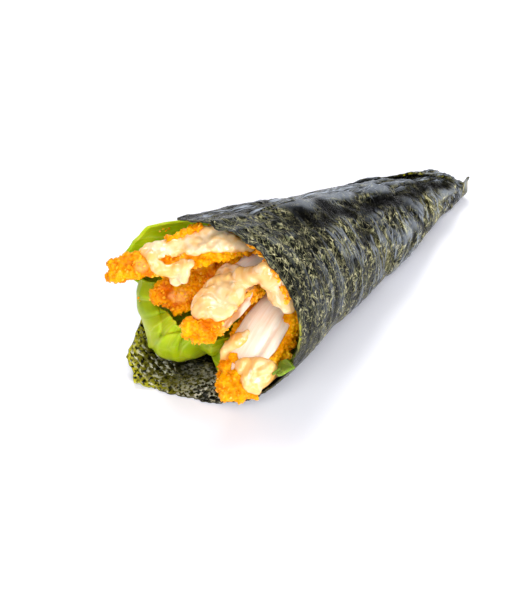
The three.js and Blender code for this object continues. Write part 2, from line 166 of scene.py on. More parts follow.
# Lumps of batter that stand out of a strip: (px, py, radius, how far towards the camera).
KNOBS = {
    "top": ((114, 265, 1.7, 0), (113, 276, 1.7, 0), (120, 263, 1.8, 0.5), (120, 277, 1.9, 0.5),
            (127, 261, 1.7, 0.5), (128, 272, 1.9, 1), (136, 258, 1.6, 0.5), (138, 268, 1.7, 1),
            (150, 262, 1.5, 1.5), (166, 259, 1.2, 1.5), (184, 257, 1.2, 1.5),
            (202, 256, 1.1, 1.5), (220, 253, 1.1, 1), (170, 238, 1.1, 0), (177, 236, 1.0, 0),
            (183, 233, 0.9, 0), (190, 230, 1.1, 0), (198, 227, 1.1, 0)),
    "left": ((157, 299, 1.5, 0.5), (163, 293, 1.9, 1.2), (172, 291, 1.8, 1), (182, 291, 2.0, 1),
             (177, 309, 1.7, 0.5), (185, 305, 1.8, 1), (167, 303, 1.6, 0), (178, 279, 2.3, 2.5),
             (190, 277, 2.0, 2.5), (200, 274, 1.8, 2.5), (211, 270, 1.8, 2.5),
             (196, 284, 1.8, 2.5)),
    "middle": ((190, 327, 2.2, 0.5), (203, 331, 2.6, 1), (216, 328, 2.2, 0.5),
               (197, 338, 1.6, 0), (210, 337, 1.7, 0), (187, 334, 1.3, 0)),
    "right": ((225, 380, 2.0, 0.5), (237, 377, 2.2, 1.5), (249, 382, 2.2, 1.5),
              (227, 393, 2.0, 0), (239, 394, 2.2, 0.5), (252, 393, 1.8, 0),
              (226, 367, 1.7, 0.5), (235, 358, 1.5, 1), (257, 396, 1.1, 0), (222, 386, 1.5, 0),
              (289, 314, 1.6, 1), (292, 328, 1.7, 1.6), (289, 343, 1.8, 2), (285, 356, 1.7, 2),
              (281, 366, 1.2, 1.2), (250, 290, 1.8, 3), (259, 289, 1.5, 3)),
}
# Where the coating is so thin that the pink meat shines through it, and where cut meat is
# darkened with painted shade: (px, py, radius).
THIN_COATING_AND_PAINTED_SHADE = ((142, 266, 2.2), (180, 297, 2.4), (174, 296, 1.8), (255, 284, 1.4), (236, 317, 3.2),
        (230, 327, 3.0), (249, 287, 2.6), (243, 296, 2.6), (238, 303, 2.6), (233, 312, 2.6),
        (228, 322, 2.6), (225, 331, 2.4))

# The sauces, in spots of the camera's view. A band is filled between two lines, a stroke
# runs through (px, py, radius), and a drop or a curtain hangs through (px, py, distance
# along the roll, radius), a drop's distance being counted from where it starts.
BLOB_STEP = 3.2                             # between the blobs of a stroke
HANGING_FACE = (0.3, -0.6, 0.75)            # the way hanging blobs are flattened
DROP_THICKNESS = 0.7                        # of a blob, as a share of its width
CURTAIN_THICKNESS, CURTAIN_BULGE = 0.8, 0.9
TOP_BAND = (((146, 253), (160, 246), (174, 244), (188, 241), (200, 234), (212, 231),
             (222, 235), (236, 242), (248, 247)),
            ((150, 256), (162, 253), (174, 252), (188, 250), (200, 249), (212, 248),
             (222, 247), (236, 246), (250, 247)))
TOP_END = ((143, 251, 0.9), (148, 250, 1.4), (154, 247, 1.6))
TOP_STROKE = ((152, 257, 1.3), (153, 263, 1.5), (158, 268, 1.6), (164, 271, 1.6),
              (171, 271, 1.6), (178, 268, 1.5), (184, 265, 1.3), (190, 263, 1.0))
TOP_DROP_START = (179, 266)
TOP_DROPS = (((177, 268, 0, 1.3), (175, 275, 0.4, 1.8), (177, 281, 0.8, 1.6)),
             ((184, 266, 0, 1.1), (184, 273, 0.4, 1.6), (183, 279, 0.8, 1.4)))
MIDDLE_BAND = (((226, 268), (219, 279), (209, 290), (200, 300), (193, 311)),
               ((246, 274), (238, 287), (238, 298), (231, 307), (222, 314)))
MIDDLE_STROKE = ((198, 314, 1.3), (203, 316, 1.5), (212, 314, 1.5), (220, 316, 1.3))
MIDDLE_CURTAIN = (((241, 272, 121, 1.2), (249, 275, 120.5, 1.2), (257, 272, 120, 1.2),
                   (265, 266, 119.5, 1.2), (273, 275, 119, 1.2), (282, 278, 118.5, 1.2),
                   (286, 289, 118, 1.2), (290, 303, 117.5, 1.1)),
                  ((241, 286, 121.5, 1.2), (247, 280, 121, 1.2), (254, 277, 120.5, 1.2),
                   (262, 279, 120, 1.2), (270, 288, 119.5, 1.2), (272, 297, 119, 1.2),
                   (278, 302, 119, 1.2), (287, 308, 118.5, 1.0)))
RIGHT_STROKE = ((247, 333, 1.0), (240, 339, 1.5), (233, 345, 1.8), (227, 351, 1.8),
                (224, 357, 1.3))
RIGHT_BAND = (((242, 366), (255, 364), (268, 366), (275, 374)),
              ((250, 384), (258, 388), (266, 387), (273, 383)))
THIN_SAUCE = (0.25, 0.95)                   # thinner than this the crust shines through it
# Where the sauce is stained by the crust: (px, py, radius).
STAINS = ((153, 262, 2.6), (161, 268, 3.2), (171, 268, 3.2), (181, 266, 3.0),
          (184, 280, 2.6), (206, 308, 2.0))

# Crumbs: how many lie on the crusts and on the rim, in which turns and reaches of the
# rim, and in which spots of the camera's view they have fallen on the lettuce.
CRUST_CRUMBS, RIM_CRUMBS = 2600, 150
RIM_TURNS, RIM_REACHES, RIM_DEPTHS = (122, 166), (126.4, 128.8), (0.9, 2.2)
CRUMB_SIZES, CRUMB_FLATNESS, RIM_CRUMB_GROWTH = (0.28, 0.68), (0.2, 0.4), 1.5
CRUMBED_FROM = 100                          # no crumb lies nearer to the cone's point
FALLEN_CRUMBS = ((139, 298), (140, 301), (160, 231), (163, 229), (166, 230), (169, 228),
                 (150, 246))

# The camera and its view.
CAMERA_PLACE = (0.26445, -0.33092, 0.35913)
CAMERA_TARGET = (0.00614, -0.03348, 0.01970)
CAMERA_LENS = 120.57
SENSOR_LONG_SIDE = 36.0
VIEW_WIDTH = 510
VIEW_HEIGHT = 612

# Lights: (name, place, size, power).
LIGHT_TARGET = (0, -0.02, 0.02)
LIGHTS = (("window_light", (-0.45, 0.42, 0.9), (0.55, 0.45), 8.3),
          ("front_light", (0.2, -0.8, 0.6), (0.5, 0.4), 3.2),
          ("near_light", (0.46, -0.52, 0.76), (0.4, 0.4), 3.1),
          ("right_light", (0.84, -0.2, 0.25), (0.3, 0.4), 5.6))
TABLE_GLOW = 0.11                           # the white table is lit past white


# ---------------------------------------------------------------- small helpers

def only(piece):
    """Selects one piece alone and makes it the active one."""
    bpy.ops.object.select_all(action="DESELECT")
    piece.select_set(True)
    bpy.context.view_layer.objects.active = piece


def started(name):
    """Names the primitive that was just added, and gives it back."""
    piece = bpy.context.object
    piece.name = piece.data.name = name
    return piece


def modify(piece, kind, **settings):
    """Adds a modifier, sets it and applies it."""
    only(piece)
    modifier = piece.modifiers.new(kind.lower(), kind)
    for key, value in settings.items():
        setattr(modifier, key, value)
    bpy.ops.object.modifier_apply(modifier=modifier.name)


def join(pieces):
    """Joins pieces into the first of them."""
    only(pieces[0])
    for piece in pieces[1:]:
        piece.select_set(True)
    bpy.ops.object.join()
    return pieces[0]


def finished(piece, finish):
    """Gives a piece its finish and smooth shading."""
    piece.data.materials.append(finish)
    only(piece)
    bpy.ops.object.shade_smooth()
    return piece


def points_of(piece):
    """A piece's vertices in millimetres from the cone's point."""
    flat = np.empty(len(piece.data.vertices) * 3)
    piece.data.vertices.foreach_get("co", flat)
    return flat.reshape(-1, 3) / MM - CONE_POINT


def place_points(piece, points):
    piece.data.vertices.foreach_set("co", ((points + CONE_POINT) * MM).ravel())
    piece.data.update()


def as_added(piece):
    """The vertices of a new primitive, in the size it was added with."""
    return (points_of(piece) + CONE_POINT) * MM


def added_grid(name, columns, rows):
    """A flat grid, with its vertices' places over it, from 0 to 1 each way."""
    bpy.ops.mesh.primitive_grid_add(x_subdivisions=columns, y_subdivisions=rows, size=1)
    piece = started(name)
    across, up = as_added(piece)[:, :2].T + 0.5
    return piece, across, up


def normals_of(piece):
    flat = np.empty(len(piece.data.vertices) * 3)
    piece.data.vertex_normals.foreach_get("vector", flat)
    return flat.reshape(-1, 3)


def paint(piece, name, values):
    """Keeps one number for each vertex, for a material to read."""
    attribute = piece.data.attributes.new(name, "FLOAT", "POINT")
    attribute.data.foreach_set("value", np.asarray(values, np.float32))


def corners_of(piece):
    """The vertex at each corner of the piece's faces."""
    corners = np.empty(len(piece.data.loops), np.int32)
    piece.data.loops.foreach_get("vertex_index", corners)
    return corners


def lay_out(piece, across, up):
    """Gives a piece a UV map from one pair of numbers for each vertex."""
    layer = piece.data.uv_layers.active or piece.data.uv_layers.new(name="sheet")
    corners = corners_of(piece)
    pairs = np.column_stack((across[corners], up[corners]))
    layer.data.foreach_set("uv", pairs.astype(np.float32).ravel())


def laid_out(piece):
    """Each vertex's pair of numbers, from the UV map."""
    corners = corners_of(piece)
    flat = np.empty(len(corners) * 2)
    piece.data.uv_layers.active.data.foreach_get("uv", flat)
    pairs = np.zeros((len(piece.data.vertices), 2))
    pairs[corners] = flat.reshape(-1, 2)
    return pairs


def unit(vectors):
    return vectors / np.linalg.norm(vectors, axis=-1, keepdims=True)


def mix(low, high, t):
    return low + (high - low) * t


def ramp(value, start, end):
    """0 before start, 1 after end, and a smooth rise between."""
    t = np.clip((value - start) / (end - start), 0, 1)
    return t * t * (3 - 2 * t)


def between(value, rise, fall):
    """1 between a rise and a fall, each a (start, end)."""
    return ramp(value, *rise) * (1 - ramp(value, *fall))


def bell(value, middle, width):
    return np.exp(-((value - middle) / width) ** 2)


def follow(pairs, place):
    """A value that goes smoothly through (place, value) pairs."""
    places, values = np.array(pairs, float).T
    i = np.clip(np.searchsorted(places, place, side="right") - 1, 0, len(places) - 2)
    t = np.clip((place - places[i]) / (places[i + 1] - places[i]), 0, 1)
    return values[i] + (values[i + 1] - values[i]) * t * t * (3 - 2 * t)


def lumps(points, size, seed):
    """Repeatable smooth random values from -1 to 1, on a cubic lattice."""
    cell = points / size
    corner = np.floor(cell)
    part = cell - corner
    ease = part * part * (3 - 2 * part)
    total = np.zeros(len(points))
    for step in np.ndindex(2, 2, 2):
        x, y, z = (corner + step).T
        wave = np.sin(x * 127.1 + y * 311.7 + z * 74.7 + seed * 53.3) * 43758.5453
        weight = np.where(step, ease, 1 - ease).prod(axis=1)
        total += weight * (2 * (wave - np.floor(wave)) - 1)
    return total


def ridges(points, size, seed):
    """The same, but with sharp crests at 1."""
    return 1 - 2 * np.abs(lumps(points, size, seed))


def lumps_along(place, seed):
    """Smooth random values along one line."""
    return lumps(np.column_stack((place, 0 * place, 0 * place)), 1.0, seed)


def lengths_along(line):
    """How far along a line each of its points is."""
    steps = np.linalg.norm(np.diff(line, axis=0), axis=1)
    return np.concatenate(([0], np.cumsum(steps)))


def line_distance(x, y, line):
    """How far flat spots are from a line through some points."""
    spots, nearest = np.column_stack((x, y)), np.full(len(x), 1e9)
    for start, end in zip(line, line[1:]):
        start, edge = np.array(start, float), np.array(end, float) - start
        t = np.clip((spots - start) @ edge / (edge @ edge), 0, 1)
        away = np.linalg.norm(spots - start - t[:, None] * edge, axis=1)
        nearest = np.minimum(nearest, away)
    return nearest


# ---------------------------------------------------------------- lines of sight

EYE = np.array(CAMERA_PLACE)
EYE_POINT = EYE / MM - CONE_POINT           # the same in millimetres from the cone's point
AHEAD = unit(np.array(CAMERA_TARGET) - EYE)
RIGHTWARD = unit(np.cross(AHEAD, (0, 0, 1)))
UPWARD = np.cross(RIGHTWARD, AHEAD)
FOCAL = CAMERA_LENS / SENSOR_LONG_SIDE * VIEW_HEIGHT


def sight(px, py):
    """The direction in which the camera sees a spot of its view."""
    return unit(AHEAD + RIGHTWARD * (px - VIEW_WIDTH / 2) / FOCAL
                - UPWARD * (py - VIEW_HEIGHT / 2) / FOCAL)


def in_view(points):
    """The spots of its view at which the camera sees points."""
    away = (points + CONE_POINT) * MM - EYE
    depth = away @ AHEAD
    return (VIEW_WIDTH / 2 + FOCAL * (away @ RIGHTWARD) / depth,
            VIEW_HEIGHT / 2 - FOCAL * (away @ UPWARD) / depth)


def seen_at(px, py, line, toward):
    """The place on a line of sight that is nearest to a line of points, moved towards
    the camera."""
    ray = sight(px, py)
    along = (line - EYE_POINT) @ ray
    miss = np.linalg.norm(EYE_POINT + along[:, None] * ray - line, axis=1)
    return EYE_POINT + ray * (along[miss.argmin()] - toward)


def seen_across(px, py, along):
    """The place on a line of sight at a distance along the roll."""
    ray = sight(px, py)
    return EYE_POINT + ray * ((-along - EYE_POINT[1]) / ray[1])


def tree_of(pieces):
    """One search tree over the surfaces of several pieces."""
    spots, faces = [], []
    for piece in pieces:
        begun = len(spots)
        spots.extend(v.co[:] for v in piece.data.vertices)
        faces.extend([begun + i for i in face.vertices] for face in piece.data.polygons)
    return BVHTree.FromPolygons(spots, faces)


def seen_on(tree, px, py):
    """The place of a surface that shows at a spot of the view, and the way it faces."""
    place, facing, _, _ = tree.ray_cast(Vector(CAMERA_PLACE), Vector(sight(px, py)))
    if place is None:
        return None, None
    return np.array(place) / MM - CONE_POINT, np.array(facing)


# ---------------------------------------------------------------- the cone

def creases(reach, turn):
    """Shallow creases and dents of the rolled sheet, the same on every turn."""
    return (0.22 * np.sin(reach * 0.21 + 2 * np.sin(turn + 0.4))
            + 0.16 * np.sin(3 * turn + reach * 0.07)
            + 0.1 * np.sin(5 * turn - reach * 0.16 + 1.3))


def laid_down(across, axis_length, drop, flat):
    """Places given by their distances from and along the cone's axis, on the table."""
    along = -axis_length * CONE_COS - drop * CONE_SIN
    rise = axis_length * CONE_SIN - drop * CONE_COS
    return np.column_stack((across, along, rise * SQUASH * flat))


def cone_point(reach, degrees):
    """A point of the cone: reach is the distance from its point, and the turn round
    it goes from the lowest line towards +X."""
    turn = np.radians(degrees)
    radius = reach * CONE_SIN + creases(reach, turn)
    flat = follow(SUNK, reach)
    across = radius * np.sin(turn) * (1 + SUNK_SPREAD * (1 - flat))
    points = laid_down(across, reach * CONE_COS, radius * np.cos(turn), flat)
    points[:, 2] = np.maximum(points[:, 2], SAG)
    return points


def cone_normal(reach, degrees):
    along_step = cone_point(reach + 1, degrees) - cone_point(reach - 1, degrees)
    round_step = cone_point(reach, degrees + 2) - cone_point(reach, degrees - 2)
    return unit(np.cross(round_step, along_step))


def inside_cone(reach, degrees, depth):
    return cone_point(reach, degrees) - cone_normal(reach, degrees) * depth[:, None]


def tuck_in(piece, least_room):
    """Pulls in what would stick through the rolled sheet."""
    x, y, z = points_of(piece).T
    reach = -y
    for _ in range(3):
        flat = follow(SUNK, reach)
        rise = z / (SQUASH * flat)
        axis_length = -y * CONE_COS + rise * CONE_SIN
        reach = axis_length / CONE_COS
    drop = -y * CONE_SIN - rise * CONE_COS
    wide = 1 + SUNK_SPREAD * (1 - flat)
    turn = np.arctan2(x / wide, drop)
    radius = np.hypot(x / wide, drop)
    room = reach * CONE_SIN + creases(reach, turn) - least_room
    degrees = np.degrees(turn) % 360
    rim = SHEET_TOP / np.cos(np.radians((degrees - SHEET_MIDDLE) * CONE_SIN))
    covered = (degrees < turn_of(INNER_TOP_CORNER)) & (reach < rim + 1.0)
    factor = np.where(covered & (radius > room), room / radius, 1.0)
    place_points(piece, laid_down(x * factor, axis_length, drop * factor, flat))


# ---------------------------------------------------------------- the nori sheet

def turn_of(corner):
    """The turn at which a point of the flat sheet lies once it is rolled."""
    across, up = corner
    return SHEET_MIDDLE + math.degrees(math.atan2(across, up)) / CONE_SIN


# Columns of the sheet: (from turn, to turn, how many), the most where it reaches the mouth.
NORI_COLUMNS = ((turn_of(OUTER_EDGE[-1]) + 3, turn_of(FLAP_CORNER), 120),
                (turn_of(FLAP_CORNER), turn_of(INNER_TOP_CORNER), 270),
                (turn_of(INNER_TOP_CORNER), turn_of(INNER_FOOT_CORNER) - 3, 60))
COLUMN_COUNT = sum(columns for _, _, columns in NORI_COLUMNS)


def column_turns(u):
    """The turn of each column, for u from 0 to 1 over the columns."""
    place, found, begun = u * COLUMN_COUNT, np.zeros(len(u)), 0
    for start, end, columns in NORI_COLUMNS:
        here = place >= begun - 1e-6
        found = np.where(here, start + (end - start) * (place - begun) / columns, found)
        begun += columns
    return found


def sheet_limits(turn):
    """The reach at which the sheet begins and ends, for each turn."""
    angle = np.radians((turn - SHEET_MIDDLE) * CONE_SIN)
    sight_x, sight_y = np.sin(angle), np.cos(angle)
    far = np.zeros(len(turn))
    for start, end in zip(SHEET_OUTLINE, SHEET_OUTLINE[1:]):
        edge_x, edge_y = end[0] - start[0], end[1] - start[1]
        crossing = ((start[0] * edge_y - start[1] * edge_x)
                    / (sight_x * edge_y - sight_y * edge_x))
        here = (turn >= turn_of(start) - 1e-6) & (turn <= turn_of(end) + 1e-6)
        far = np.where(here, np.maximum(far, crossing), far)
    near = SHEET_FOOT / np.cos(np.minimum(np.abs(angle), math.radians(FOOT_ROUNDING)))
    return near, np.maximum(far, near + 2)


def wrinkles(reach, degrees):
    """Relief of the dry, crumpled sheet. It follows the place on the cone, so that
    every turn crumples with the one outside it."""
    skin = cone_point(reach, degrees)
    turn, degrees = np.radians(degrees), degrees % 360
    tipward = 1 - ramp(reach, 40, 112)
    total = np.zeros(len(reach))
    # streaks that run round the cone, closer and deeper towards the tip
    swing = reach + 4.0 * np.sin(turn + 0.6) + 1.5 * np.sin(turn * 3 + reach * 0.12)
    for size, bend, height, seed in STREAKS:
        spots = np.column_stack((swing / size, bend * np.cos(turn), bend * np.sin(turn)))
        total += height * ridges(spots, 1.0, seed) * (0.22 + 0.95 * tipward)
    # long creases down the length, over the top
    over_top = between(degrees, (138, 170), (225, 260))
    for size, height, seed in TOP_CREASES:
        spots = np.column_stack((np.cos(turn) / size, np.sin(turn) / size,
                                 reach / 26 + turn * 1.2))
        total += height * ridges(spots, 1.0, seed) * over_top
    # one deep crease along the roll, just below its top
    wander = degrees + 5 * lumps_along(reach / 9, 17)
    along = between(reach, (36, 52), (96, 112))
    total += along * (0.7 * bell(wander, 181, 8) - 0.9 * bell(wander, 164, 8))
    # the tip is rolled tight: flat low on its right, calmer on top
    low_right = between(degrees, (35, 55), (112, 130)) * (1 - ramp(reach, 44, 66))
    on_top = ramp(degrees, 130, 150) * (1 - ramp(reach, 46, 62))
    total *= 1 - 0.85 * low_right - 0.45 * on_top
    # and fine crinkles everywhere
    return total + sum(height * lumps(skin, size, seed) for height, size, seed in CRINKLES)


def flap_rows(reach, degrees):
    """The rows of small bumps on the side of the loose corner that shows."""
    skin = cone_point(reach, degrees)
    rows = np.sin(2 * math.pi * reach / FLAP_ROW_STEP + 2.2 * lumps(skin, 5.0, 11))
    bumps = 0.45 + 0.75 * lumps(skin, 1.3, 12)
    open_corner = ramp(reach, 110, 118) * (1 - ramp(degrees, 40, 70))
    return (0.42 * rows * bumps + 0.22 * ridges(skin, 0.9, 13)) * open_corner


def tip_corner(reach, turn):
    """How much a point belongs to the small corner that stands up at the tip."""
    return bell(turn, 121, 10) * (1 - ramp(reach, 22.8, 28))


def pale_edge(border, reach, turn):
    """How pale the torn edge is: on the loose corner, low on the right, and at the tip."""
    flap = (1 - ramp(turn, -20, 5)) * ramp(reach, 104, 118)
    right = between(turn, (86, 93), (106, 114)) * ramp(reach, 110, 120)
    tip = 1 - 0.6 * ramp(reach, 24, 30) - 0.4 * ramp(reach, 44, 52)
    return np.maximum(flap * np.exp(-border / 2.6),
                      np.maximum(right, tip) * np.exp(-border / 0.5))


def band_middle(reach):
    """The turn at which the fold with its painted shade runs: nearer the top towards the mouth.
    """
    return 152 + 0.26 * (reach - 30)


def painted_fold_shade(reach, turn):
    """Painted shade of the deep fold that runs down the roll just below its top,
    and painted shade low on the right of the rim."""
    wander = turn % 360 + 7 * lumps_along(reach / 7, 18)
    deep = 1.1 + 0.6 * lumps(cone_point(reach, turn), 3.0, 19)
    fold = bell(wander, band_middle(reach), 13) * deep * between(reach, (24, 36), (98, 114))
    low_right = ramp(reach, 112, 122) * between(turn, (58, 70), (88, 102))
    return np.clip(np.maximum(fold, 0.6 * low_right), 0, 0.97)


def thin_places(reach, turn):
    """Where the sheet is so thin that it looks olive."""
    round_it = np.radians(turn)
    streaks = lumps(np.column_stack((reach / 5.0, 1.5 * np.cos(round_it),
                                     1.5 * np.sin(round_it))), 1.0, 14)
    patches = streaks + 0.5 * lumps(cone_point(reach, turn), 4.0, 15)
    return ramp(patches, 0.0, 0.7) * (1 - ramp(reach, 66, 92))


def make_nori(finishes):
    """The rolled sheet, with its loose corner on the table."""
    sheet, u, v = added_grid("nori", COLUMN_COUNT, NORI_ROWS)
    turn = column_turns(u)
    near, far = sheet_limits(turn)
    reach = near + (far - near) * v
    angle = np.radians((turn - SHEET_MIDDLE) * CONE_SIN)
    across, up = reach * np.sin(angle), reach * np.cos(angle)
    border = line_distance(across, up, SHEET_OUTLINE)
    flat = np.column_stack((across, up, 0 * up))
    fray = lumps(flat, 0.9, 21) + lumps(flat, 2.4, 22)
    reach = reach + 0.45 * fray * (v > 1 - 0.5 / NORI_ROWS)
    depth = NORI_TURN_STEP * (turn - SHEET_MIDDLE) / 360
    settled = ramp(cone_point(reach, turn)[:, 2], SAG + 0.1, SAG + 3)
    relief = wrinkles(reach, turn)
    rows = flap_rows(reach, turn)
    points = inside_cone(reach, turn, depth - relief * (0.15 + 0.85 * settled) - rows)
    points[:, 2] = np.maximum(points[:, 2], REST_LEVEL + NORI_THICKNESS)
    points += TIP_CORNER * tip_corner(reach, turn)[:, None]
    place_points(sheet, points)
    lay_out(sheet, across / 100, up / 100)
    # the relief, which the finish also turns into painted highlights on crests and painted shade
    # in hollows
    paint(sheet, "ridge", relief)
    # the flap's rows, which the finish turns into painted shade between them and painted sparkles
    # on their crests
    paint(sheet, "rows", rows)
    paint(sheet, "pale", pale_edge(border, reach, turn))
    paint(sheet, "olive", thin_places(reach, turn))
    # painted shade of the fold below the top and low on the right of the rim
    paint(sheet, "band", painted_fold_shade(reach, turn))
    # where the painted sheen lies, above the fold
    above_band = turn % 360 - band_middle(reach)
    paint(sheet, "top", ramp(above_band, 4, 20) * (1 - ramp(turn % 360, 225, 250)))
    for finish in finishes:
        sheet.data.materials.append(finish)
    modify(sheet, "SOLIDIFY", thickness=NORI_THICKNESS * MM, offset=-1,
           material_offset=1, material_offset_rim=2)
    modify(sheet, "DECIMATE", ratio=NORI_KEPT)
    only(sheet)
    bpy.ops.object.shade_smooth_by_angle(angle=math.radians(60))
    return sheet


# ---------------------------------------------------------------- the lettuce

def finished_leaf(piece, finish):
    modify(piece, "SOLIDIFY", thickness=LEAF_THICKNESS * MM, offset=0)
    return finished(piece, finish)


def make_leaf(name, turns, reach, depth, columns, rows, finish):
    """A leaf that lines the cone: reach and depth are functions of the turn and of t,
    which runs from its hidden end to its open edge."""
    piece, u, t = added_grid(name, columns, rows)
    turn = turns[0] + (turns[1] - turns[0]) * u
    points = inside_cone(reach(turn, t), turn, depth(turn, t))
    px, py = in_view(points)
    for line, width, deep in FOLDS:
        fold = deep * bell(line_distance(px, py, line), 0, width)
        points = points + cone_normal(reach(turn, t), turn) * fold[:, None]
    blisters = 0.4 * lumps(points, 8.0, 54) + 0.10 * lumps(points, 3.6, 55)
    place_points(piece, points)
    points = points + normals_of(piece) * (blisters * ramp(t, 0.3, 0.6))[:, None]
    lowest = REST_LEVEL + NORI_THICKNESS + LEAF_THICKNESS
    points[:, 2] = np.maximum(points[:, 2], lowest)
    place_points(piece, points)
    lay_out(piece, u, t)
    return finished_leaf(piece, finish)


def make_tongue(places, finish):
    """A narrow part of a leaf through rows of (px, py, distance along the roll)."""
    piece, u, t = added_grid("tongue", 24, 40)
    places = np.array(places, float)
    down, across = t * (len(places) - 1), u * (places.shape[1] - 1)
    i = np.minimum(down.astype(int), len(places) - 2)
    j = np.minimum(across.astype(int), places.shape[1] - 2)
    down, across = (down - i)[:, None], (across - j)[:, None]
    drawn = mix(mix(places[i, j], places[i, j + 1], across),
                mix(places[i + 1, j], places[i + 1, j + 1], across), down)
    points = np.array([seen_across(*spot) for spot in drawn])
    place_points(piece, points + 0.25 * lumps(points, 3.0, 56)[:, None])
    lay_out(piece, 0.3 + 0.1 * u, 0.4 + 0.3 * t)
    return finished_leaf(piece, finish)


def back_reach(turn, t):
    ragged = 0.5 * lumps_along(turn / 6.0, 52) * ramp(t, 0.7, 1)
    return mix(LEAF_START, follow(BACK_EDGE, turn), t) + ragged


def back_depth(turn, t):
    return (mix(LEAF_DEPTH, follow(BACK_LIFT, turn), ramp(t, 0.5, 0.95))
            + 0.3 * np.sin(turn * 0.16 + t * 5) * ramp(t, 0.3, 0.9))


def lip(turn, t):
    """The radius of the front leaf's rolled lip, and how far a place is round it."""
    return (follow(LIP_RADIUS, turn),
            LIP_TURN * np.clip((t - LIP_START) / (1 - LIP_START), 0, 1))


def front_reach(turn, t):
    curl, rolled = lip(turn, t)
    ragged = 0.5 * lumps_along(turn / 4.5, 51) * ramp(t, 0.7, 1)
    flat = mix(LEAF_START, follow(FRONT_EDGE, turn) - curl, np.clip(t / LIP_START, 0, 1))
    return flat + curl * np.sin(rolled) + ragged


def front_depth(turn, t):
    curl, rolled = lip(turn, t)
    return (mix(LEAF_DEPTH, follow(FRONT_LIFT, turn), ramp(t, 0.15, 0.5))
            + curl * (1 - np.cos(rolled))
            + 0.35 * np.sin(turn * 0.16 + t * 3) * ramp(t, 0.4, 0.8))


def under_reach(turn, t):
    return mix(UNDER_START, follow(UNDER_EDGE, turn), t)


def under_depth(turn, t):
    return mix(LEAF_DEPTH, 1.5, ramp(t, 0.5, 1)) + 0.4 * (1 + np.sin(turn * 0.25 + t * 3))


# ---------------------------------------------------------------- the chicken strips

def spine(path):
    """Evenly spaced points on a smooth line through the path's points."""
    knots = np.array(path, float)
    knots = np.vstack((2 * knots[0] - knots[1], knots, 2 * knots[-1] - knots[-2]))
    line = []
    for a, b, c, d in zip(knots, knots[1:], knots[2:], knots[3:]):
        for t in np.linspace(0, 1, 24, endpoint=False):
            line.append(0.5 * (2 * b + (c - a) * t + (2 * a - 5 * b + 4 * c - d) * t ** 2
                               + (3 * b - a - 3 * c + d) * t ** 3))
    line = np.array([*line, knots[-2]])
    gone = lengths_along(line)
    even = np.linspace(0, gone[-1], SPINE_POINTS)
    return np.column_stack([np.interp(even, gone, line[:, k]) for k in range(3)])


def make_lump(name, strip, mesh, sink):
    """A long lump in the shape of a strip. sink(place, degrees round) says how far in
    its surface lies where something is missing."""
    sides, rings = mesh
    bpy.ops.mesh.primitive_uv_sphere_add(segments=sides, ring_count=rings, radius=1)
    piece = started(name)
    ball = as_added(piece)
    around = np.arctan2(ball[:, 0], ball[:, 1])
    end = np.clip(ball[:, 2], -1, 1)
    place = (1 + end) / 2
    line = spine(strip["path"])
    ahead = unit(np.gradient(line, axis=0))
    at = place * (len(line) - 1)
    low = np.minimum(at.astype(int), len(line) - 2)
    part = (at - low)[:, None]
    middle = line[low] * (1 - part) + line[low + 1] * part
    forward = unit(ahead[low] * (1 - part) + ahead[low + 1] * part)
    side = unit(np.cross(forward, np.array(strip["up"], float)))
    top = np.cross(side, forward)
    girth = np.maximum(0, 1 - np.abs(end) ** STRIP_BLUNT) ** (1 / STRIP_BLUNT)
    out_side, out_top = (np.sign(out) * np.abs(out) ** STRIP_SQUARE
                         for out in (np.cos(around), np.sin(around)))
    inward = sink(place, np.degrees(around))
    wide, high = (np.maximum(follow(strip[sizes], place) - inward, 0.3)
                  for sizes in ("widths", "heights"))
    place_points(piece, middle + side * (out_side * girth * wide)[:, None]
                 + top * (out_top * girth * high)[:, None])
    lay_out(piece, around, place)
    only(piece)
    bpy.ops.object.mode_set(mode="EDIT")
    bpy.ops.mesh.select_all(action="SELECT")
    bpy.ops.mesh.normals_make_consistent(inside=False)
    bpy.ops.object.mode_set(mode="OBJECT")
    return piece


def window(place, around, places, turns, seed):
    """1 inside a patch of a strip's surface and 0 outside, with an uneven border."""
    soft, turned = BARE_SOFTNESS, np.radians(around)
    spots = np.column_stack((place * 14, np.cos(turned) * 2, np.sin(turned) * 2))
    ragged = 0.03 * lumps(spots, 1.0, seed) + 0.02 * lumps(spots, 0.4, seed + 1)
    low, high = places
    along = between(place + ragged, (low - soft, low + soft), (high - soft, high + soft))
    width = turns[1] - turns[0]
    swung = (around - turns[0] + 360 + 300 * ragged) % 360
    return along * between(swung, (0, 700 * soft), (width - 700 * soft, width))


def bare_share(which, place, around):
    share = np.zeros(len(place))
    for seed, (places, turns) in enumerate(BARE.get(which, ())):
        share = np.maximum(share, window(place, around, places, turns, seed * 5 + 3))
    return share


def make_ball(place, radius, thick=1.0, facing=None):
    """A ball at a place in millimetres from the cone's point, flattened along facing."""
    bpy.ops.mesh.primitive_ico_sphere_add(subdivisions=3, radius=1)
    ball = started("blob")
    spots = as_added(ball) * (1, 1, thick) * radius
    if facing is not None:
        turn = Vector((0, 0, 1)).rotation_difference(Vector(facing)).to_matrix()
        spots = spots @ np.array(turn).T
    place_points(ball, spots + np.array(place))
    return ball


def texture(name, kind, **settings):
    made = bpy.data.textures.new(name, kind)
    for key, value in settings.items():
        setattr(made, key, value)
    return made


# Crags of the batter: (texture, how strong in millimetres).
CRAGS = (
    (texture("batter_lumps", "CLOUDS", noise_scale=0.003, noise_depth=1), 1.2),
    (texture("crumb_lumps", "VORONOI", noise_scale=0.0011), -0.9),
    (texture("fine_grit", "CLOUDS", noise_scale=0.0005, noise_depth=1), 0.35),
)


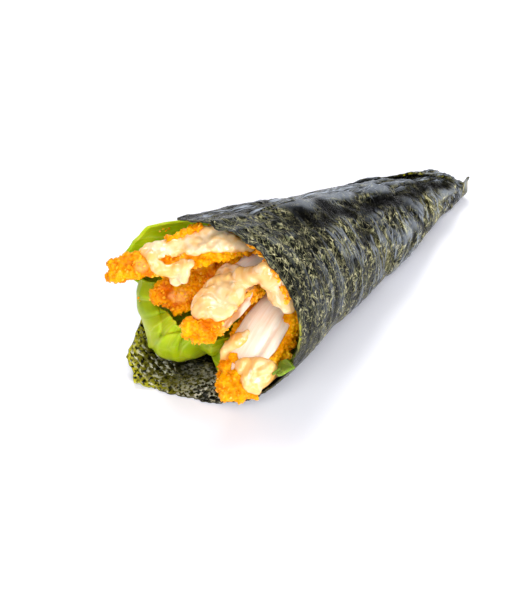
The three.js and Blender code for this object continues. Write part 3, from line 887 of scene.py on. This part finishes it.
def make_crust(which, finish):
    """The fried coating of one strip: craggy lumps of batter and crumb."""
    line = spine(STRIPS[which]["path"])
    piece = make_lump("chicken_" + which + "_crust", STRIPS[which], CRUST_MESH,
                      lambda place, around: BARE_DEPTH * bare_share(which, place, around))
    piece = join([piece] + [make_ball(seen_at(px, py, line, toward), radius)
                            for px, py, radius, toward in KNOBS[which]])
    modify(piece, "REMESH", mode="VOXEL", voxel_size=VOXEL * MM)
    before = points_of(piece)
    for made, strength in CRAGS:
        modify(piece, "DISPLACE", texture=made, texture_coords="LOCAL", mid_level=0.5,
               strength=strength * MM)
    tuck_in(piece, CRUST_ROOM)
    # how far each spot was pushed out, which the finish turns into painted shade in crevices and
    # painted highlights on tips
    paint(piece, "crag", ((points_of(piece) - before) * normals_of(piece)).sum(axis=1))
    return finished(piece, finish)


def make_meat(which, finish):
    """The strip's meat, which shows where its coating is torn."""
    piece = make_lump("chicken_" + which + "_meat", STRIPS[which], MEAT_MESH,
                      lambda place, around: MEAT_DEPTH + COATED_DEPTH * (
                          1 - bare_share(which, place, around)))
    spots, normal = points_of(piece), normals_of(piece)
    around, place = laid_out(piece).T
    grain = np.column_stack((np.cos(around) * 3.2, np.sin(around) * 3.2, place * 5))
    relief = 0.08 * ridges(grain, 1.0, 4) + 0.04 * lumps(grain * (2.3, 2.3, 1.4), 1.0, 6)
    relief += 0.3 * lumps(spots, 4.0, 7)
    turn, width, deep = GROOVE
    wander = np.degrees(around) + 8 * lumps_along(place * 9, 8)
    relief -= deep * bell(wander, turn, width)
    place_points(piece, spots + normal * relief[:, None])
    tuck_in(piece, MEAT_ROOM)
    return finished(piece, finish)


def near_places(spots, places, seed):
    """1 close to some places and 0 away from them, each with its own radius."""
    share = np.zeros(len(spots))
    for place, radius in places:
        away = np.linalg.norm(spots - place, axis=1) + 0.6 * lumps(spots, 1.2, seed)
        share = np.maximum(share, 1 - ramp(away, 0.4 * radius, radius))
    return share


# ---------------------------------------------------------------- the sauce

def blobs_along(spots):
    """The numbers of each blob of a line, evenly spaced through some spots of the view."""
    spots = np.array(spots, float)
    gone = lengths_along(spots[:, :2])
    for at in np.linspace(0, gone[-1], max(2, int(gone[-1] / BLOB_STEP) + 1)):
        yield [np.interp(at, gone, numbers) for numbers in spots.T]


def lines_between(upper, lower, count):
    """Lines side by side that fill a band, each with its share of the way across."""
    upper, lower = np.array(upper, float), np.array(lower, float)
    for t in np.linspace(0, 1, count):
        yield t, upper * (1 - t) + lower * t


def stroke(tree, spots, thick, uneven=1.0):
    """Blobs of sauce along a line, each laid on the surface that shows there."""
    blobs = []
    for px, py, radius in blobs_along(spots):
        radius *= 1 + uneven * (0.16 * math.sin(px * 0.9 + py * 0.5)
                                + 0.1 * math.sin(px * 0.4 - py * 1.1))
        place, facing = seen_on(tree, px, py + 0.9 * uneven * math.sin(px * 0.7 + 1))
        if place is not None:
            blobs.append(make_ball(place + facing * 0.1, radius, thick, facing))
    return blobs


def spread(tree, band, count, radius, thick):
    """Strokes side by side that fill a band."""
    blobs = []
    for _, line in lines_between(*band, count):
        blobs += stroke(tree, [(px, py, radius) for px, py in line], thick, 0.2)
    return blobs


def hung(spots, thick):
    """Blobs that hang between two strips."""
    return [make_ball(seen_across(px, py, along), radius, thick, HANGING_FACE)
            for px, py, along, radius in blobs_along(spots)]


def curtain(band, count):
    """Rows of hanging blobs that fill a band, thickest along its middle."""
    blobs = []
    for t, row in lines_between(*band, count):
        row[:, 3] += 4 * CURTAIN_BULGE * t * (1 - t)
        blobs += hung(row, CURTAIN_THICKNESS)
    return blobs


def make_sauce(name, blobs, finish, tree):
    """Blobs melted into one smooth mass with soft folds, on the strips of a search tree."""
    piece = join(blobs)
    piece.name = piece.data.name = name
    modify(piece, "REMESH", mode="VOXEL", voxel_size=VOXEL * MM)
    modify(piece, "SMOOTH", factor=0.5, iterations=12)
    spots, normal = points_of(piece), normals_of(piece)
    folds = ridges(spots * (1.0, 0.45, 1.0) + 0.8 * lumps(spots, 5, 31)[:, None], 3.0, 32)
    smears = ridges(spots * (1.0, 0.3, 1.0), 1.5, 34)
    relief = 0.30 * folds + 0.13 * smears + 0.14 * lumps(spots, 2.4, 33)
    place_points(piece, spots + normal * relief[:, None])
    modify(piece, "SMOOTH", factor=0.5, iterations=3)
    tuck_in(piece, SAUCE_ROOM)
    spots = points_of(piece)
    away = np.array([tree.find_nearest(v.co)[3] for v in piece.data.vertices]) / MM
    thin = 1 - ramp(away + 0.25 * lumps(spots, 1.2, 35), *THIN_SAUCE)
    stains = [(seen_on(tree, px, py)[0], radius) for px, py, radius in STAINS]
    paint(piece, "thin", 0.75 * np.maximum(thin, near_places(spots, stains, 36)))
    return finished(piece, finish)


# ---------------------------------------------------------------- crumbs

def of_faces(pieces, what, width):
    """One property of all the faces of some pieces."""
    found = []
    for piece in pieces:
        flat = np.empty(len(piece.data.polygons) * width)
        piece.data.polygons.foreach_get(what, flat)
        found.append(flat.reshape(-1, width))
    return np.concatenate(found)


def scattered_on(pieces, count, seed):
    """Random places on the outer part of some pieces, and the ways they face."""
    draw = np.random.default_rng(seed)
    middles = of_faces(pieces, "center", 3) / MM - CONE_POINT
    outer = middles[:, 1] < -CRUMBED_FROM
    areas = of_faces(pieces, "area", 1)[outer, 0]
    chosen = draw.choice(len(areas), count, p=areas / areas.sum())
    return middles[outer][chosen], of_faces(pieces, "normal", 3)[outer][chosen]


def scatter(name, places, facings, sizes, finish, seed):
    """Small jagged flakes at places, standing out along facings, as one mesh."""
    draw = np.random.default_rng(seed)
    bpy.ops.mesh.primitive_ico_sphere_add(subdivisions=1, radius=1)
    piece = started(name)
    ball = as_added(piece)
    corners = np.array([face.vertices[:] for face in piece.data.polygons])
    count = len(places)
    shape = ball[None] * (1 + 0.35 * draw.uniform(-1, 1, (count, len(ball), 1)))
    shape = shape * np.column_stack((np.ones(count), draw.uniform(0.5, 0.9, count),
                                     draw.uniform(*CRUMB_FLATNESS, count)))[:, None]
    shape = shape * sizes[:, None, None]
    lean = unit(facings + 0.75 * draw.normal(size=(count, 3)))
    first = unit(np.cross(lean, draw.normal(size=(count, 3))))
    second = np.cross(lean, first)
    turned = (shape[:, :, :1] * first[:, None] + shape[:, :, 1:2] * second[:, None]
              + shape[:, :, 2:] * lean[:, None])
    spots = (turned + places[:, None]).reshape(-1, 3)
    spots[:, 2] = np.maximum(spots[:, 2], REST_LEVEL)
    faces = (corners[None] + np.arange(count)[:, None, None] * len(ball)).reshape(-1, 3)
    piece.data = bpy.data.meshes.new(name)
    piece.data.from_pydata(((spots + CONE_POINT) * MM).tolist(), [], faces.tolist())
    paint(piece, "tone", np.repeat(draw.uniform(0, 1, count), len(ball)))
    piece.data.materials.append(finish)
    return piece


# ---------------------------------------------------------------- parts of a finish

def put(socket, value):
    """Links a node's input to another node's output, or gives it a plain value."""
    if isinstance(value, bpy.types.NodeSocket):
        socket.id_data.links.new(value, socket)
    else:
        socket.default_value = value


def set_up(made, **settings):
    """Sets a node's own properties, or its inputs by name."""
    for key, value in settings.items():
        if hasattr(made, key):
            setattr(made, key, value)
        else:
            put(made.inputs[key.replace("_", " ")], value)
    return made


def node(tree, kind, **settings):
    return set_up(tree.nodes.new(kind), **settings)


def tree_with(*values):
    """The node tree of the outputs among some values."""
    return next(value.id_data for value in values if isinstance(value, bpy.types.NodeSocket))


def new_finish(name):
    finish = bpy.data.materials.new(name)
    finish.use_nodes = True
    tree = finish.node_tree
    tree.nodes.clear()
    output = tree.nodes.new("ShaderNodeOutputMaterial")
    shader = tree.nodes.new("ShaderNodeBsdfPrincipled")
    tree.links.new(shader.outputs["BSDF"], output.inputs["Surface"])
    return finish, tree, shader


def place_on(tree, kind="Object"):
    """Where a spot of the surface is, on the piece's object or on its UV map."""
    return tree.nodes.new("ShaderNodeTexCoord").outputs[kind]


def own(tree, name):
    """A number that the piece's mesh keeps for each vertex."""
    return node(tree, "ShaderNodeAttribute", attribute_name=name).outputs["Fac"]


def worked(operation, first, second=0.0):
    made = node(tree_with(first, second), "ShaderNodeMath", operation=operation)
    put(made.inputs[0], first)
    put(made.inputs[1], second)
    return made.outputs["Value"]


def times(first, second):
    return worked("MULTIPLY", first, second)


def most(first, second):
    return worked("MAXIMUM", first, second)


def less(first, second):
    return worked("SUBTRACT", first, second)


def scaled(value, low, high, new_low=0.0, new_high=1.0):
    """A value from low to high brought to the range from new_low to new_high."""
    return node(value.id_data, "ShaderNodeMapRange", Value=value, From_Min=low, From_Max=high,
                To_Min=new_low, To_Max=new_high).outputs["Result"]


def noise(place, scale, detail=3.0, distortion=0.0, roughness=0.5):
    return node(place.id_data, "ShaderNodeTexNoise", Vector=place, Scale=scale, Detail=detail,
                Distortion=distortion, Roughness=roughness).outputs["Fac"]


def moved(place, turn=0.0, scale=(1, 1, 1), shift=(0, 0, 0)):
    return node(place.id_data, "ShaderNodeMapping", vector_type="TEXTURE", Vector=place,
                Location=shift, Rotation=(0, 0, math.radians(turn)),
                Scale=[1 / stretch for stretch in scale]).outputs["Vector"]


def colour(red, green, blue):
    """A colour given as it looks on a screen, 0 to 255."""
    shown = np.array((red, green, blue)) / 255
    linear = np.where(shown <= 0.04045, shown / 12.92, ((shown + 0.055) / 1.055) ** 2.4)
    return (*linear, 1.0)


def blend_of(value, places, tones):
    """Screen colours that follow one another as a value goes through some places."""
    made = node(value.id_data, "ShaderNodeValToRGB", Fac=value)
    band = made.color_ramp
    while len(band.elements) < len(tones):
        band.elements.new(0.5)
    for element, place, tone in zip(band.elements, places, tones):
        element.position = place
        element.color = colour(*tone)
    return made.outputs["Color"]


def mixed(factor, first, second):
    """Two colours mixed by a factor, each another node's output or a screen colour."""
    made = node(tree_with(factor, first, second), "ShaderNodeMix", data_type="RGBA")
    put(made.inputs[0], factor)
    for socket, shade in ((made.inputs[6], first), (made.inputs[7], second)):
        put(socket, shade if isinstance(shade, bpy.types.NodeSocket) else colour(*shade))
    return made.outputs[2]


def bumped(height, strength, distance):
    return node(height.id_data, "ShaderNodeBump", Height=height, Strength=strength,
                Distance=distance * MM).outputs["Normal"]


# ---------------------------------------------------------------- the nori's finish

NORI_GLOSS = 0.045
# Fibres of the pressed seaweed: (how close they lie, which way, how long, how thick).
FIBRES = ((46, 24, 0.18, 0.028), (56, -42, 0.20, 0.030), (66, 74, 0.20, 0.032),
          (80, -80, 0.22, 0.036))
PLEAT_SCALES = (19, 34)                     # broad and narrow pleats
PLEAT_STRETCH = 0.16
# Olive and pale green are the sheet's own colours; the bluish grey between them is painted sheen.
OLIVE, PAINTED_SHEEN, PALE_GREEN = (104, 98, 50), (176, 184, 196), (186, 180, 40)
# Near-black painted shade: in the dark pleats, in the hollows of the relief, in the deep fold
# below the top and between the flap's rows of bumps.
PAINTED_PLEAT_SHADE, PAINTED_HOLLOW_SHADE, PAINTED_FOLD_SHADE, PAINTED_ROW_SHADE = (2, 3, 3), (3, 4, 3), (3, 3, 2), (3, 3, 1)
# A painted sparkle for the crests of the flap's rows.
PAINTED_SPARKLE = (226, 226, 208)


def fibres_along(place, scale, turn, stretch, width):
    """Thin curly fibres: 1 along a fibre and 0 away from it."""
    swung = moved(place, turn, (1, stretch, 1), (turn * 0.1, 0, 0))
    off = worked("ABSOLUTE", less(noise(swung, scale, 1.5, 1.2), 0.5))
    line = scaled(off, 0.25 * width, width, 1.0, 0.0)
    broken = noise(moved(place, turn, (1, 0.6, 1), (7, turn * 0.1, 0)), scale * 0.9, 1.0)
    return times(line, scaled(broken, 0.47, 0.55))


def sheet_place(tree):
    """The sheet's own coordinates: reach from the cone's point in units of 100 mm, and
    angle round it on the flat sheet."""
    place = place_on(tree, "UV")
    parts = node(tree, "ShaderNodeSeparateXYZ", Vector=place)
    reach = node(tree, "ShaderNodeVectorMath", operation="LENGTH", Vector=place)
    angle = worked("ARCTAN2", parts.outputs["X"], parts.outputs["Y"])
    return place, reach.outputs["Value"], angle


def pleats(across, along, share):
    """Painted highlights and painted shade of pleats, long the one way and narrow the other, the
    highlights of fine threads.
    """
    def drawn(scale, stretch, detail, distortion):
        spots = node(across.id_data, "ShaderNodeCombineXYZ", X=across, Y=times(along, stretch))
        return noise(spots.outputs["Vector"], scale, detail, distortion)
    threads = scaled(drawn(110, 0.10, 2, 0.8), 0.44, 0.58, 0.05, 1.0)
    folds = [drawn(scale, PLEAT_STRETCH, 3, 0.6) for scale in PLEAT_SCALES]
    light = most(*(scaled(fold, 0.55, 0.60, 0.0, 1.0) for fold in folds))
    dark = most(*(scaled(fold, 0.49, 0.42, 0.0, 1.0) for fold in folds))
    return times(times(light, threads), share), times(dark, share)


def nori_finish(name, ground_tones, fibre_tones, row_share, roughness):
    finish, tree, shader = new_finish(name)
    place, reach, angle = sheet_place(tree)
    olive, ridge, rows, over_top = (own(tree, what) for what in ("olive", "ridge", "rows", "top"))
    ground = blend_of(noise(place, 15, 6, 0.5, 0.65), (0.36, 0.52, 0.68), ground_tones)
    ground = mixed(times(olive, 0.6), ground, OLIVE)
    # the pressed fibres, in clusters, fainter on top where the painted sheen lies
    fibres = scaled(noise(moved(place, 40, (1, 0.4, 1)), 120, 2, 0.8), 0.59, 0.65, 0.0, 0.8)
    for scale, turn, stretch, width in FIBRES:
        fibres = most(fibres, fibres_along(place, scale, turn, stretch, width))
    clusters = scaled(noise(place, 18, 5, 0.6, 0.65), 0.40, 0.58, 0.15, 1.0)
    fibres = times(fibres, most(clusters, olive))
    fibres = times(fibres, scaled(over_top, 0.0, 1.0, 1.0, 0.5))
    fibres = times(fibres, scaled(reach, 1.0, 1.2, 1.0, 0.8))
    tints = blend_of(noise(place, 60, 2), (0.38, 0.52, 0.66), fibre_tones)
    # painted highlights and painted shade of pleats that run round the roll on its side and along
    # it over its top
    around = times(scaled(reach, 1.22, 0.85, 0.12, 1.0), less(1.0, over_top))
    ups, downs = zip(pleats(reach, angle, around), pleats(angle, reach, over_top))
    light, dark = most(*ups), most(*downs)
    shade = mixed(times(dark, 0.9), ground, PAINTED_PLEAT_SHADE)
    # fibres show less in the painted shade of the dark pleats
    fibres_here = times(fibres, scaled(dark, 0.0, 1.0, 1.0, 0.45))
    shade = mixed(times(fibres_here, 1 - 0.35 * row_share), shade, tints)
    # painted sheen from the light pleats, stronger on top, and painted highlights on the ridge
    # crests
    painted_sheen = times(light, scaled(over_top, 0.0, 1.0, 0.52, 1.0))
    shade = mixed(most(painted_sheen, scaled(ridge, 0.5, 1.2, 0.0, 0.5)), shade, PAINTED_SHEEN)
    # painted shade in the hollows of the relief, less on top
    painted_hollow_shade = scaled(ridge, -0.8, 0.1, 0.85, 0.0)
    painted_hollow_shade = times(painted_hollow_shade, scaled(over_top, 0.0, 1.0, 1.0, 0.45))
    shade = mixed(painted_hollow_shade, shade, PAINTED_HOLLOW_SHADE)
    # painted shade of the deep fold below the top
    shade = mixed(own(tree, "band"), shade, PAINTED_FOLD_SHADE)
    # painted shade between the flap's rows of bumps and painted sparkles on their crests, and the
    # torn edge
    shade = mixed(scaled(rows, 0.08, -0.12, 0.0, row_share), shade, PAINTED_ROW_SHADE)
    painted_sparkles = scaled(noise(place, 96, 2, 0.4), 0.48, 0.57, 0.0, row_share)
    shade = mixed(times(painted_sparkles, scaled(rows, 0.05, 0.32)), shade, PAINTED_SPARKLE)
    speckle = scaled(noise(place, 110, 2), 0.42, 0.54)
    shade = mixed(times(own(tree, "pale"), speckle), shade, PALE_GREEN)
    rough = scaled(noise(place, 70, 3), 0.3, 0.7, roughness - 0.08, roughness + 0.12)
    height = worked("ADD", fibres, times(less(light, dark), 2.0))
    set_up(shader, Base_Color=shade, Roughness=rough, Specular_IOR_Level=NORI_GLOSS,
           Normal=bumped(height, 0.8, 0.22))
    return finish


def edge_finish():
    finish, tree, shader = new_finish("nori_cut_edge")
    spots = noise(place_on(tree), 900, 2)
    dark = blend_of(spots, (0.4, 0.6), ((18, 20, 10), (70, 68, 28)))
    light = blend_of(spots, (0.35, 0.65), ((96, 98, 18), (196, 196, 56)))
    shade = mixed(scaled(own(tree, "pale"), 0.6, 1.2), dark, light)
    set_up(shader, Base_Color=shade, Roughness=0.6)
    return finish


# ---------------------------------------------------------------- the other finishes

def lettuce_finish(name, tones):
    finish, tree, shader = new_finish(name)
    place = place_on(tree, "UV")
    warp = node(tree, "ShaderNodeTexNoise", Vector=place, Scale=4.0, Detail=3.0)
    bent = mixed(0.10, place, warp.outputs["Color"])
    veins = []
    for scale, width in ((4.0, 0.03), (9.0, 0.04)):
        cells = node(tree, "ShaderNodeTexVoronoi", feature="DISTANCE_TO_EDGE",
                     Vector=moved(bent, 0, (1, 0.6, 1)), Scale=scale)
        veins.append(scaled(cells.outputs["Distance"], 0.0, width, 1.0, 0.0))
    veins = most(veins[0], times(veins[1], 0.5))
    cloud = noise(place, 3.0, 4)
    ground = blend_of(cloud, (0.3, 0.5, 0.7), tones)
    height = less(cloud, times(veins, 0.35))
    set_up(shader, Base_Color=mixed(times(veins, 0.22), ground, (226, 228, 120)),
           Roughness=0.36, Specular_IOR_Level=0.25, Subsurface_Weight=0.85,
           Subsurface_Radius=(0.55, 1.0, 0.08), Subsurface_Scale=0.002,
           Normal=bumped(height, 0.35, 0.6))
    return finish


def crust_finish():
    finish, tree, shader = new_finish("fried_crust")
    place, crag = place_on(tree), own(tree, "crag")
    shade = blend_of(noise(place, 230, 4), (0.32, 0.48, 0.62, 0.76),
                     ((214, 108, 0), (238, 150, 0), (250, 174, 2), (255, 200, 50)))
    # painted shade in the crevices between the crags
    shade = mixed(scaled(crag, -0.55, -0.05, 0.5, 0.0), shade, (196, 92, 0))
    # painted highlights on the crag tips
    shade = mixed(scaled(crag, 0.25, 0.7, 0.0, 0.45), shade, (255, 196, 48))
    shade = mixed(times(own(tree, "torn"), 0.6), shade, (250, 190, 110))
    set_up(shader, Base_Color=shade,
           Roughness=scaled(noise(place, 500, 2), 0.35, 0.65, 0.22, 0.55),
           Specular_IOR_Level=0.09, Subsurface_Weight=0.45,
           Subsurface_Radius=(1.0, 0.45, 0.02), Subsurface_Scale=0.0018,
           Normal=bumped(noise(place, 1500, 3), 0.5, 0.15))
    return finish


def crumb_finish():
    finish, tree, shader = new_finish("panko_crumb")
    shade = blend_of(own(tree, "tone"), (0.0, 0.45, 0.8, 1.0),
                     ((236, 140, 2), (250, 164, 2), (255, 184, 30), (255, 200, 76)))
    set_up(shader, Base_Color=shade, Roughness=0.4, Specular_IOR_Level=0.25)
    return finish


def meat_finish():
    finish, tree, shader = new_finish("white_meat")
    place = place_on(tree, "UV")
    fibres = noise(moved(place, 0, (6.0, 3.0, 1.0)), 2.2, 6, 1.2)
    broad = noise(moved(place, 0, (1.0, 7.0, 1.0)), 1.3, 3, 0.6)
    shade = blend_of(fibres, (0.30, 0.44, 0.62),
                     ((243, 216, 190), (247, 226, 204), (251, 236, 220)))
    shade = mixed(scaled(broad, 0.50, 0.70, 0.0, 0.35), shade, (247, 208, 166))
    # painted shade: cut meat darkened to brown at the spots where it lies in shade
    shade = mixed(own(tree, "torn"), shade, (198, 138, 84))
    set_up(shader, Base_Color=shade, Roughness=0.35, Subsurface_Weight=0.3,
           Subsurface_Radius=(1.0, 0.6, 0.4), Subsurface_Scale=0.0015,
           Normal=bumped(fibres, 0.3, 0.2))
    return finish


def sauce_finish(name, tones):
    finish, tree, shader = new_finish(name)
    place = place_on(tree)
    shade = blend_of(noise(moved(place, 0, (1, 0.6, 1)), 140, 3, 0.8), (0.30, 0.48, 0.66), tones)
    # lighter cream spots, partly the sauce's own swirls and partly painted glints
    cream_spots_and_painted_glints = noise(moved(place, 30, (1, 0.5, 1)), 330, 4, 1.0)
    shade = mixed(scaled(cream_spots_and_painted_glints, 0.50, 0.62, 0.0, 0.55), shade, (254, 238, 212))
    oily = noise(moved(place, -30, (1, 0.5, 1)), 260, 4, 1.0)
    shade = mixed(scaled(oily, 0.50, 0.40, 0.0, 0.5), shade, (248, 192, 96))
    streaks = noise(moved(place, 0, (1, 0.4, 1)), 420, 3, 0.8)
    thin = times(own(tree, "thin"), scaled(streaks, 0.40, 0.62, 0.35, 1.0))
    set_up(shader, Base_Color=mixed(thin, shade, (250, 184, 76)), Roughness=0.17,
           Specular_IOR_Level=0.6, Subsurface_Weight=0.3, Subsurface_Radius=(1.0, 0.7, 0.3),
           Subsurface_Scale=0.0012, Normal=bumped(noise(place, 420, 3, 0.6), 0.35, 0.25))
    return finish


def table_finish():
    finish, tree, shader = new_finish("white_table")
    set_up(shader, Base_Color=colour(250, 250, 252), Roughness=0.9, Specular_IOR_Level=0.1,
           Emission_Color=(0.60, 0.62, 1.0, 1.0), Emission_Strength=TABLE_GLOW)
    return finish


# ---------------------------------------------------------------- camera and light

def aim(made, place, target):
    """Turns a camera or a light at a place towards a target."""
    away = Vector(target) - Vector(place)
    made.rotation_euler = away.to_track_quat("-Z", "Y").to_euler()


def place_camera():
    bpy.ops.object.camera_add(location=CAMERA_PLACE)
    camera = bpy.context.object
    aim(camera, CAMERA_PLACE, CAMERA_TARGET)
    camera.data.sensor_width = SENSOR_LONG_SIDE
    camera.data.lens = CAMERA_LENS
    bpy.context.scene.camera = camera


def light_scene():
    world = bpy.data.worlds.new("studio")
    bpy.context.scene.world = world
    world.use_nodes = True
    set_up(world.node_tree.nodes["Background"], Color=(0.94, 0.955, 1.0, 1.0), Strength=0.25)
    for name, place, size, power in LIGHTS:
        bpy.ops.object.light_add(type="AREA", location=place)
        lamp = bpy.context.object
        lamp.name = name
        aim(lamp, place, LIGHT_TARGET)
        lamp.data.shape = "RECTANGLE"
        lamp.data.size, lamp.data.size_y = size
        lamp.data.energy = power
    view = bpy.context.scene.view_settings
    view.view_transform = "Standard"
    view.look = "None"


# ---------------------------------------------------------------- the roll is put together

place_camera()
light_scene()

bpy.ops.mesh.primitive_plane_add(size=6)
table = started("table")
table.data.materials.append(table_finish())

LETTUCE = lettuce_finish("lettuce", ((126, 152, 0), (164, 182, 4), (202, 210, 36)))
# A copy of the lettuce with darker tones: painted shade for the leaf beside the right strip.
LETTUCE_IN_PAINTED_SHADE = lettuce_finish("lettuce_painted_shade", ((96, 120, 30), (122, 144, 44), (148, 166, 62)))
CRUST = crust_finish()
MEAT = meat_finish()
CRUMB = crumb_finish()
# Copies of one sauce: the one on the top strip is paler as painted light, for the brighter light
# that falls on it, and the others are deeper orange.
SAUCE_TOP = sauce_finish("sauce_painted_lit", ((249, 190, 112), (252, 212, 156), (252, 227, 194)))
SAUCE_MIDDLE = sauce_finish("orange_sauce", ((243, 176, 98), (246, 195, 128), (248, 210, 152)))
SAUCE_RIGHT = sauce_finish("deep_sauce", ((243, 172, 84), (247, 192, 112), (250, 212, 150)))
NORI_FACES = (
    nori_finish("nori_outside", ((2, 3, 2), (9, 11, 8), (34, 37, 28)),
                ((140, 144, 104), (200, 194, 140), (245, 236, 184)), 0.0, 0.2),
    nori_finish("nori_inside", ((3, 3, 1), (14, 14, 5), (44, 42, 14)),
                ((92, 88, 36), (168, 160, 84), (236, 228, 184)), 1.0, 0.24),
    edge_finish(),
)

nori = make_nori(NORI_FACES)
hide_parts("nori_sheet")

leaves = []
for name, turns, reach, depth, columns, rows in (
        ("lettuce_back", (196, 287), back_reach, back_depth, 96, 84),
        ("lettuce_front", (276, 369), front_reach, front_depth, 110, 96),
        ("lettuce_under", (371, 430), under_reach, under_depth, 80, 72)):
    finish = LETTUCE_IN_PAINTED_SHADE if name == "lettuce_under" else LETTUCE
    leaf = make_leaf(name + "_leaf", turns, reach, depth, columns, rows, finish)
    if name in TONGUES:
        leaf = join([leaf, make_tongue(TONGUES[name], finish)])
    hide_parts(name)
    leaves.append(leaf)

crusts, filling = [], []
for which in STRIPS:
    crust = make_crust(which, CRUST)
    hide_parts("chicken_" + which)
    crusts.append(crust)
    filling.append(crust)
    if which in BARE:
        meat = make_meat(which, MEAT)
        filling.append(meat)

surface = tree_of(filling)
# the spots go on every piece: pink meat through the thin coating on the crusts, painted shade on
# the cut meat
thin_coating_and_shade_places = [(seen_on(surface, px, py)[0], radius) for px, py, radius in THIN_COATING_AND_PAINTED_SHADE]
for piece in filling:
    paint(piece, "torn", near_places(points_of(piece), thin_coating_and_shade_places, 61))

# How far along the roll the thick drops hang from the upper strip.
drop_along = -seen_on(surface, *TOP_DROP_START)[0][1]
top_blobs = (spread(surface, TOP_BAND, 6, 1.6, 0.45) + stroke(surface, TOP_END, 0.6)
             + stroke(surface, TOP_STROKE, 0.5))
for drop in TOP_DROPS:
    top_blobs += hung([(px, py, drop_along + further, radius)
                       for px, py, further, radius in drop], DROP_THICKNESS)
sauce_top = make_sauce("sauce_on_top_strip", top_blobs, SAUCE_TOP, surface)
sauce_middle = make_sauce(
    "sauce_on_middle_strip",
    spread(surface, MIDDLE_BAND, 8, 1.7, 0.45) + stroke(surface, MIDDLE_STROKE, 0.45)
    + curtain(MIDDLE_CURTAIN, 8),
    SAUCE_MIDDLE, surface)
sauce_right = make_sauce(
    "sauce_on_right_strip",
    stroke(surface, RIGHT_STROKE, 0.8) + spread(surface, RIGHT_BAND, 5, 1.9, 0.6),
    SAUCE_RIGHT, surface)
sauces = [sauce_top, sauce_middle, sauce_right]
for sauce, node_name in zip(sauces, ("sauce_top", "sauce_middle", "sauce_right")):
    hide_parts(node_name)

crumb_places, crumb_facings = scattered_on(crusts, CRUST_CRUMBS, 71)
draw = np.random.default_rng(74)
rim_turns = draw.uniform(*RIM_TURNS, RIM_CRUMBS)
rim_reach = draw.uniform(*RIM_REACHES, RIM_CRUMBS)
rim_places = inside_cone(rim_reach, rim_turns, draw.uniform(*RIM_DEPTHS, RIM_CRUMBS))
leaf_tree = tree_of(leaves)
fallen_places, fallen_facings = zip(*(seen_on(leaf_tree, px, py) for px, py in FALLEN_CRUMBS))
crumb_places = np.vstack((crumb_places + 0.1 * crumb_facings, rim_places, fallen_places))
crumb_facings = np.vstack((crumb_facings, cone_normal(rim_reach, rim_turns), fallen_facings))
crumb_sizes = np.random.default_rng(72).uniform(*CRUMB_SIZES, len(crumb_places))
crumb_sizes[CRUST_CRUMBS:CRUST_CRUMBS + RIM_CRUMBS] *= RIM_CRUMB_GROWTH
crumbs = scatter("panko_crumbs", crumb_places, crumb_facings, crumb_sizes, CRUMB, 73)

for piece in (nori, *leaves, *filling, *sauces, crumbs):
    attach(piece, "root")
